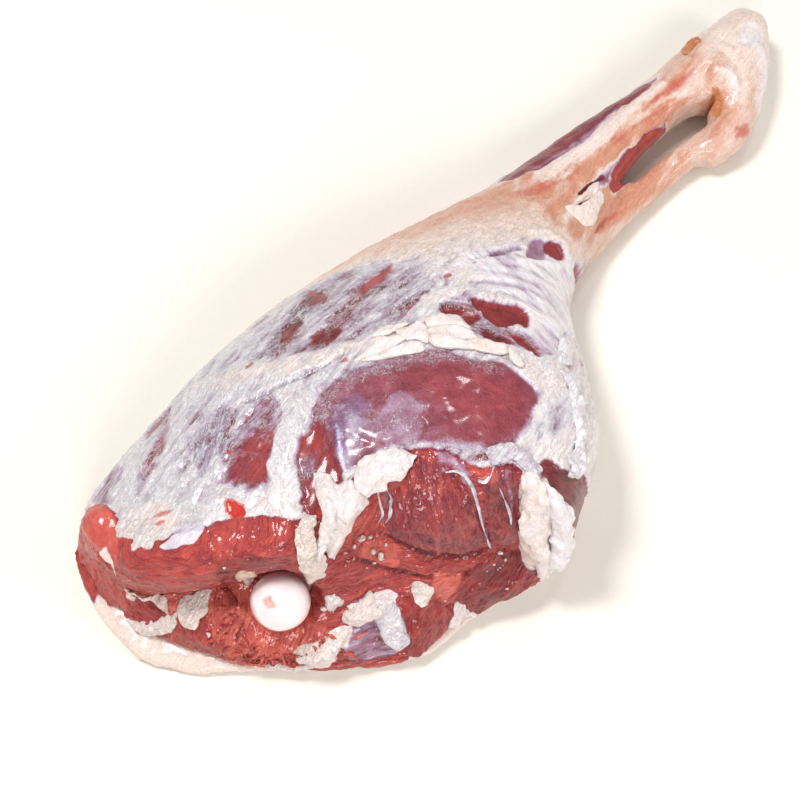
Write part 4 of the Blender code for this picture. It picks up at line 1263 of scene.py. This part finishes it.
class Heap:
    """Closed shapes gathered into one mesh; each method that adds one returns the heap."""

    def __init__(self):
        self.points = []
        self.faces = []

    def add(self, points, faces):
        """Adds a closed shape."""
        start = len(self.points)
        self.points.extend(points)
        self.faces.extend(tuple(start + i for i in face) for face in faces)
        return self

    def tube(self, knots, radii, flat=1.0, sides=8, steps=5):
        """A tapered strand through 3-D knots; flat below 1 squeezes it across the view from above."""
        line = rounded(knots, closed=False, steps=steps)
        sizes = np.interp(np.linspace(0, 1, len(line)), np.linspace(0, 1, len(radii)), radii)
        run = unit(np.gradient(line, axis=0))
        across = unit(np.cross(run, (0.3, 0.2, 1.0)))
        up = np.cross(across, run)
        points = []
        for spot, size, a, b in zip(line, sizes, across, up):
            for turn in np.arange(sides) * 2 * math.pi / sides:
                points.append(spot + size * (math.cos(turn) * a + flat * math.sin(turn) * b))
        return self.add(points + [line[0], line[-1]], ring_faces(len(line), sides))

    def flake(self, land, outline, thickness, lift=0.0, lean=(0.0, 0.0), ragged=0.8, rings=7):
        """A scrap of fat lying on the leg, star-shaped in outline; lean raises it per mm along the map."""
        line = rounded(outline, steps=6)
        middle = line.mean(0)
        flat = np.column_stack((line, np.zeros(len(line))))
        spread = line - middle
        spread *= (1 + ragged * cloud(flat, 4, 2, 22) / np.linalg.norm(spread, axis=1))[:, None]
        top, bottom = [], []
        for share in np.linspace(1, 0, rings, endpoint=False):
            for offset in spread * share:
                spot, normal = land(*(middle + offset))
                height = lift + float(np.dot(lean, offset))
                top.append(spot + normal * (height + thickness * (0.3 + 0.7 * (1 - share ** 3) ** 0.5)))
                bottom.append(spot + normal * (height - SUNK))
        sides = len(line)
        spot, normal = land(*middle)
        points = []  # from the middle below, out to the rim and back to the middle above
        for start in range((rings - 1) * sides, -1, -sides):
            points.extend(bottom[start:start + sides])
        points += top + [spot + normal * (lift - SUNK), spot + normal * (lift + thickness)]
        return self.add(points, ring_faces(2 * rings, sides))

    def sheet(self, land, rails, thickness, ragged=0.8, crinkle=0.8, seed=0):
        """A flap through rails laid on the leg, all with the same number of knots; thinner at its edges."""
        along, across = SHEET_STEPS
        rows = [rounded(lifted(land, rail), closed=False, steps=along) for rail in rails]
        grid = np.array([rounded(knots, closed=False, steps=across) for knots in zip(*rows)])
        high, wide = grid.shape[:2]
        flat = grid.reshape(-1, 3)
        jitter = np.column_stack([cloud(flat, 5, 3, 23 + seed + k) for k in range(3)]).reshape(grid.shape)
        grid = grid + ragged * jitter
        normal = unit(np.cross(np.gradient(grid, axis=0), np.gradient(grid, axis=1)))
        grid = grid + normal * (crinkle * cloud(flat, 7, 3, 27 + seed).reshape(high, wide))[:, :, None]
        border = np.minimum.outer(np.minimum(np.arange(high), np.arange(high)[::-1]),
                                  np.minimum(np.arange(wide), np.arange(wide)[::-1]))
        half = 0.5 * thickness * (0.25 + 0.75 * np.sqrt(np.clip(border / 5, 0, 1)))[:, :, None]
        points = list((grid + normal * half).reshape(-1, 3)) + list((grid - normal * half).reshape(-1, 3))
        return self.add(points, shell_faces(high, wide))

    def piece(self, name, slot="fat", rounds=1, crumple=0.3, size=3.0, **values):
        """Makes the mesh, rounds it off, crumples it and gives it constant fields."""
        mesh = bpy.data.meshes.new(name)
        mesh.from_pydata([tuple(point * MM) for point in self.points], [], self.faces)
        shape = bmesh.new()
        shape.from_mesh(mesh)
        bmesh.ops.recalc_face_normals(shape, faces=shape.faces)
        shape.to_mesh(mesh)
        shape.free()
        made = add_object(name, mesh)
        modify(made, "SUBSURF", levels=rounds)
        apply_all(made)
        at, normal = points_of(made)
        at += normal * (crumple * cloud(at, size, 3, 21))[:, None]
        at[:, 2] = np.maximum(at[:, 2], LEAST_HEIGHT)
        move_points(made, at)
        for field in FIELDS:
            write_field(made, field, np.full(len(at), float(values.get(field, 0.0))))
        write_grain(made, "POINT", at)
        finish_piece(made, FLESH, slot)


# ---- separate pieces, one function for each kind ----
def folded_flap(ground):
    """The crumpled white flap over the top edge of the cut and the curled strip below it."""
    heap = Heap().sheet(ground.near, FLAP_TOP, 2.6, 1.2, 1.0)
    heap.sheet(ground.near, FLAP_CURL, 2.4, 0.8, 0.5, seed=3)
    heap.tube(lifted(ground.near, CURL_END), [2.2, 3.4, 2.4], 0.6)
    heap.piece("folded_flap", crumple=0.6, size=4, cover=1.4, warm=0.4, sleek=0.5)


def hanging_flap(ground):
    """The cream strand that hangs over the front muscle beside the ball."""
    heap = Heap().sheet(ground.near, HANGING, 1.4, 1.4, 1.0, seed=5)
    heap.piece("hanging_flap", crumple=0.4, cover=1.4, warm=0.75, blush=0.1)


def petals(ground):
    """Overlapping flakes of fat along the far edge of the oval muscle."""
    heap = Heap()
    for number, outline in enumerate(PETALS):
        heap.flake(ground.top, outline, 1.1, 0.4 + 0.2 * number, (0.06, 0.04), 0.8)
    heap.piece("fat_petals", rounds=0, crumple=0.35, size=4, cover=1.05, warm=0.55, sleek=0.6)


def front_fringe(ground):
    """The ragged cream and lilac edges of the skin that hang over the front muscle."""
    heap = Heap().flake(ground.top, CREAM_FRINGE, 0.7, 0.0, ragged=3.5, rings=10)
    heap.piece("cream_fringe", crumple=0.7, cover=1.2, warm=0.5, blush=0.15, frost=0.4)
    heap = Heap().flake(ground.top, LILAC_SHEET, 0.8, 0.5, ragged=1.2)
    heap.piece("lilac_sheet", crumple=0.2, size=5, cover=0.85, warm=-0.4, sleek=0.9)


def corner_lobes(ground):
    """The thick crumpled lobes of fat at the ham corner of the cut and the ridge above them."""
    heap = Heap().sheet(ground.near, CORNER_RAILS[:3], 4.5, 1.2, 1.4, seed=7)
    heap.piece("cream_lobe", crumple=0.9, size=5, cover=1.5, warm=0.55, sleek=0.5)
    heap = Heap().sheet(ground.near, CORNER_RAILS[2:], 4.5, 1.2, 1.6, seed=9)
    heap.piece("white_lobe", crumple=0.9, size=5, cover=1.3, warm=0.15, frost=0.2, sleek=0.5)
    heap = Heap().sheet(ground.near, TOP_RIDGE, 1.5, 1.4, 0.8, seed=11)
    heap.piece("edge_ridge", crumple=0.5, size=4, cover=0.85, warm=0.1, frost=0.5)


def side_flaps(ground):
    """The wavy flap down the ham side and the folded corner above it."""
    heap = Heap().sheet(ground.near, SIDE_FLAP, 2.2, 2.0, 1.6, seed=13)
    heap.sheet(ground.near, CORNER_FOLD, 2.4, 1.2, 0.8, seed=15)
    heap.piece("side_flaps", crumple=0.5, size=4, cover=1.1, warm=0.1, frost=0.3)


def sinews(ground):
    """Thin pearly strands over the blocks."""
    heap = Heap()
    for knots, radii, flat in SINEWS:
        heap.tube(lifted(ground.cut, knots), radii, flat)
    heap.piece("sinews", rounds=0, crumple=0.25, cover=0.84, warm=-0.15, frost=0.2)


def torn_membranes(ground):
    """Thin cream membranes hanging below the front muscle."""
    heap = Heap().sheet(ground.cut, MEMBRANE, 1.2, 2.4, 1.0, seed=17)
    heap.flake(ground.cut, WEDGE, 1.4, 1.0, (0.0, -0.1), 2.5)
    heap.piece("membranes", crumple=0.5, cover=1.5, warm=0.9)


def fat_scraps(ground):
    """Lumps of fat left on the cut."""
    heap = Heap()
    for outline, thickness in FAT_SCRAPS:
        heap.flake(ground.cut, outline, thickness, 0.2, ragged=2.0, rings=8)
    heap.piece("fat_scraps", crumple=0.8, size=4, cover=1.35, warm=0.6)
    heap = Heap().flake(ground.cut, JOINT_SCRAP, 1.6, 0.2, ragged=1.6)
    heap.piece("joint_fat", crumple=0.5, cover=0.9, warm=1.0, amber=0.6)
    heap = Heap().flake(ground.cut, SILVER_FAT, 3.0, 0.2, ragged=1.5, rings=8)
    heap.piece("grey_fat", crumple=0.9, size=4, cover=0.9, warm=0.0, frost=0.5)


def fibre_heap(ground, chance, thickest):
    """Flat torn bundles lying outward round the lower side of the ball."""
    heap = Heap()
    for _ in range(FIBRE_COUNT):
        turn = math.radians(chance.uniform(*FIBRE_TURN))
        reach = chance.uniform(*FIBRE_REACH)
        u = BALL_MIDDLE[0] + 1.25 * reach * math.cos(turn)
        v = BALL_MIDDLE[1] + 0.7 * reach * math.sin(turn)
        heading = turn + chance.normal(0.3, 0.5)
        length = chance.uniform(*FIBRE_LENGTH)
        bend = chance.uniform(-0.9, 0.9)
        rise = chance.uniform(0.6, 2.6)
        knots = []
        for share in (0, 0.33, 0.67, 1):
            angle = heading + bend * share
            high = max(v + length * share * math.sin(angle), 12 + 2 * share)
            knots.append((u + length * share * math.cos(angle), high, rise * share - 0.8))
        size = chance.uniform(1.0, thickest)
        heap.tube(lifted(ground.cut, knots), [0.7 * size, size, 0.7 * size, 0.2], 0.35, 6, 3)
    return heap


def meat_fibres(ground):
    """Torn fibres below the ball, dark and then bright, and the spike of meat over the gap."""
    chance = np.random.default_rng(5)
    heap = fibre_heap(ground, chance, 2.2)
    heap.piece("dark_fibres", "meat", crumple=0.5, size=2.5, cover=-0.9, tone=0.6, warm=0.7, frost=-0.6)
    heap = fibre_heap(ground, chance, 2.8).flake(ground.cut, SPIKE, 1.6, 1.2, (0.0, -0.1), 0.5)
    heap.piece("meat_fibres", "meat", crumple=0.5, size=2.5, cover=-0.9, tone=1.0, warm=0.7, frost=-0.6)


def crumbs(ground):
    """Crumbs of fat scattered on the cut."""
    chance = np.random.default_rng(8)
    heap = Heap()
    for u, v, size in CRUMBS:
        spot, normal = ground.cut(u, v)
        knots = [spot + normal * size * 0.5 + chance.normal(0, 0.35, 3) * size + (0, 0, step * size)
                 for step in (-0.8, 0, 0.8)]
        heap.tube(knots, [0.5 * size, size, 0.6 * size], 0.8, 8, 3)
    heap.piece("fat_crumbs", crumple=0.4, size=2, cover=1.5, warm=0.8)


def shank_scraps(ground):
    """The loose ends of the smooth skin above the tendons and the dried scrap on the hock."""
    heap = Heap()
    for outline in FASCIA_ENDS:
        heap.flake(ground.top, outline, 0.9, 0.5, (0.03, 0.0), 0.8)
    heap.piece("fascia_ends", crumple=0.5, size=4, cover=1.0, warm=0.8, sleek=0.6)
    heap = Heap().sheet(ground.near, HOCK_SCRAP, 1.4, 1.4, 1.0, seed=21)
    heap.piece("hock_scrap", crumple=0.3, cover=1.2, warm=1.8, amber=0.8)


def loose_pieces(ground):
    """Everything that lies on the leg."""
    for make in (folded_flap, hanging_flap, petals, front_fringe, corner_lobes, side_flaps, sinews,
                 torn_membranes, fat_scraps, meat_fibres, crumbs, shank_scraps):
        make(ground)


# ---- floor, light and camera, in metres ----
FLOOR_HALF = 3.0  # half the side of the square
SKY_STRENGTH = 0.4
LIGHTS = [  # name, place, size and power in watts
    ("key", (-0.2, 0.5, 1.3), 0.3, 12.5),
    ("side", (-1.0, -0.7, 0.8), 0.4, 7.5),
    ("ham", (0.3, -1.2, 0.8), 0.5, 6),
    ("spark", (0.5, 0.1, 1.2), 0.1, 1.3),
]
CAMERA_AT = (-0.3111, -0.1566, 0.655)
CAMERA_HEADING = math.radians(55.5)  # in plan, from +y towards +x
CAMERA_DOWN = math.radians(65)  # below level
LENS = 64.665  # mm
SENSOR = 36  # mm


def floor():
    """The pale floor, which isn't part of the object."""
    mesh = bpy.data.meshes.new("floor")
    corners = [(-FLOOR_HALF, -FLOOR_HALF, 0), (FLOOR_HALF, -FLOOR_HALF, 0), (FLOOR_HALF, FLOOR_HALF, 0),
               (-FLOOR_HALF, FLOOR_HALF, 0)]
    mesh.from_pydata(corners, [], [(0, 1, 2, 3)])
    mesh.materials.append(floor_paper())
    add_object("floor", mesh)


def lighting():
    """Soft square lights aimed at the middle of the leg, and a dim white sky."""
    scene = bpy.context.scene
    scene.world = bpy.data.worlds.new("studio")
    scene.world.use_nodes = True
    sky = scene.world.node_tree.nodes["Background"]
    sky.inputs["Color"].default_value = (1, 1, 1, 1)
    sky.inputs["Strength"].default_value = SKY_STRENGTH
    for name, at, size, power in LIGHTS:
        lamp = configured(bpy.data.lights.new(name, "AREA"), size=size, energy=power)
        aim = (-Vector(at)).to_track_quat("-Z", "Y").to_euler()
        configured(add_object(name, lamp), location=at, rotation_euler=aim)
    scene.view_settings.view_transform = "Standard"


def camera():
    """Looks down on the leg from the cut end, a little to the ham side."""
    level = math.cos(CAMERA_DOWN)
    ahead = Vector((math.sin(CAMERA_HEADING) * level, math.cos(CAMERA_HEADING) * level,
                    -math.sin(CAMERA_DOWN)))
    lens = configured(bpy.data.cameras.new("camera"), lens=LENS, sensor_width=SENSOR)
    piece = configured(add_object("camera", lens), location=CAMERA_AT, rotation_mode="QUATERNION")
    piece.rotation_quaternion = ahead.to_track_quat("-Z", "Y")
    bpy.context.scene.camera = piece


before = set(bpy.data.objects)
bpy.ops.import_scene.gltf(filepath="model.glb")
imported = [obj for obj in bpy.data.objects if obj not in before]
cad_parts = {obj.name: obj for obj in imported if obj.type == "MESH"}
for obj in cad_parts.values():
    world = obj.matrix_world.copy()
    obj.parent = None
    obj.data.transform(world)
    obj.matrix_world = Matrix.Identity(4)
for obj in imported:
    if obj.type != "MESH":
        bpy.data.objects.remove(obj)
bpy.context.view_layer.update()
camera()
lighting()
floor()
FLESH = flesh()
loose_pieces(Ground(leg()))
fat_rim()
hip_ball()
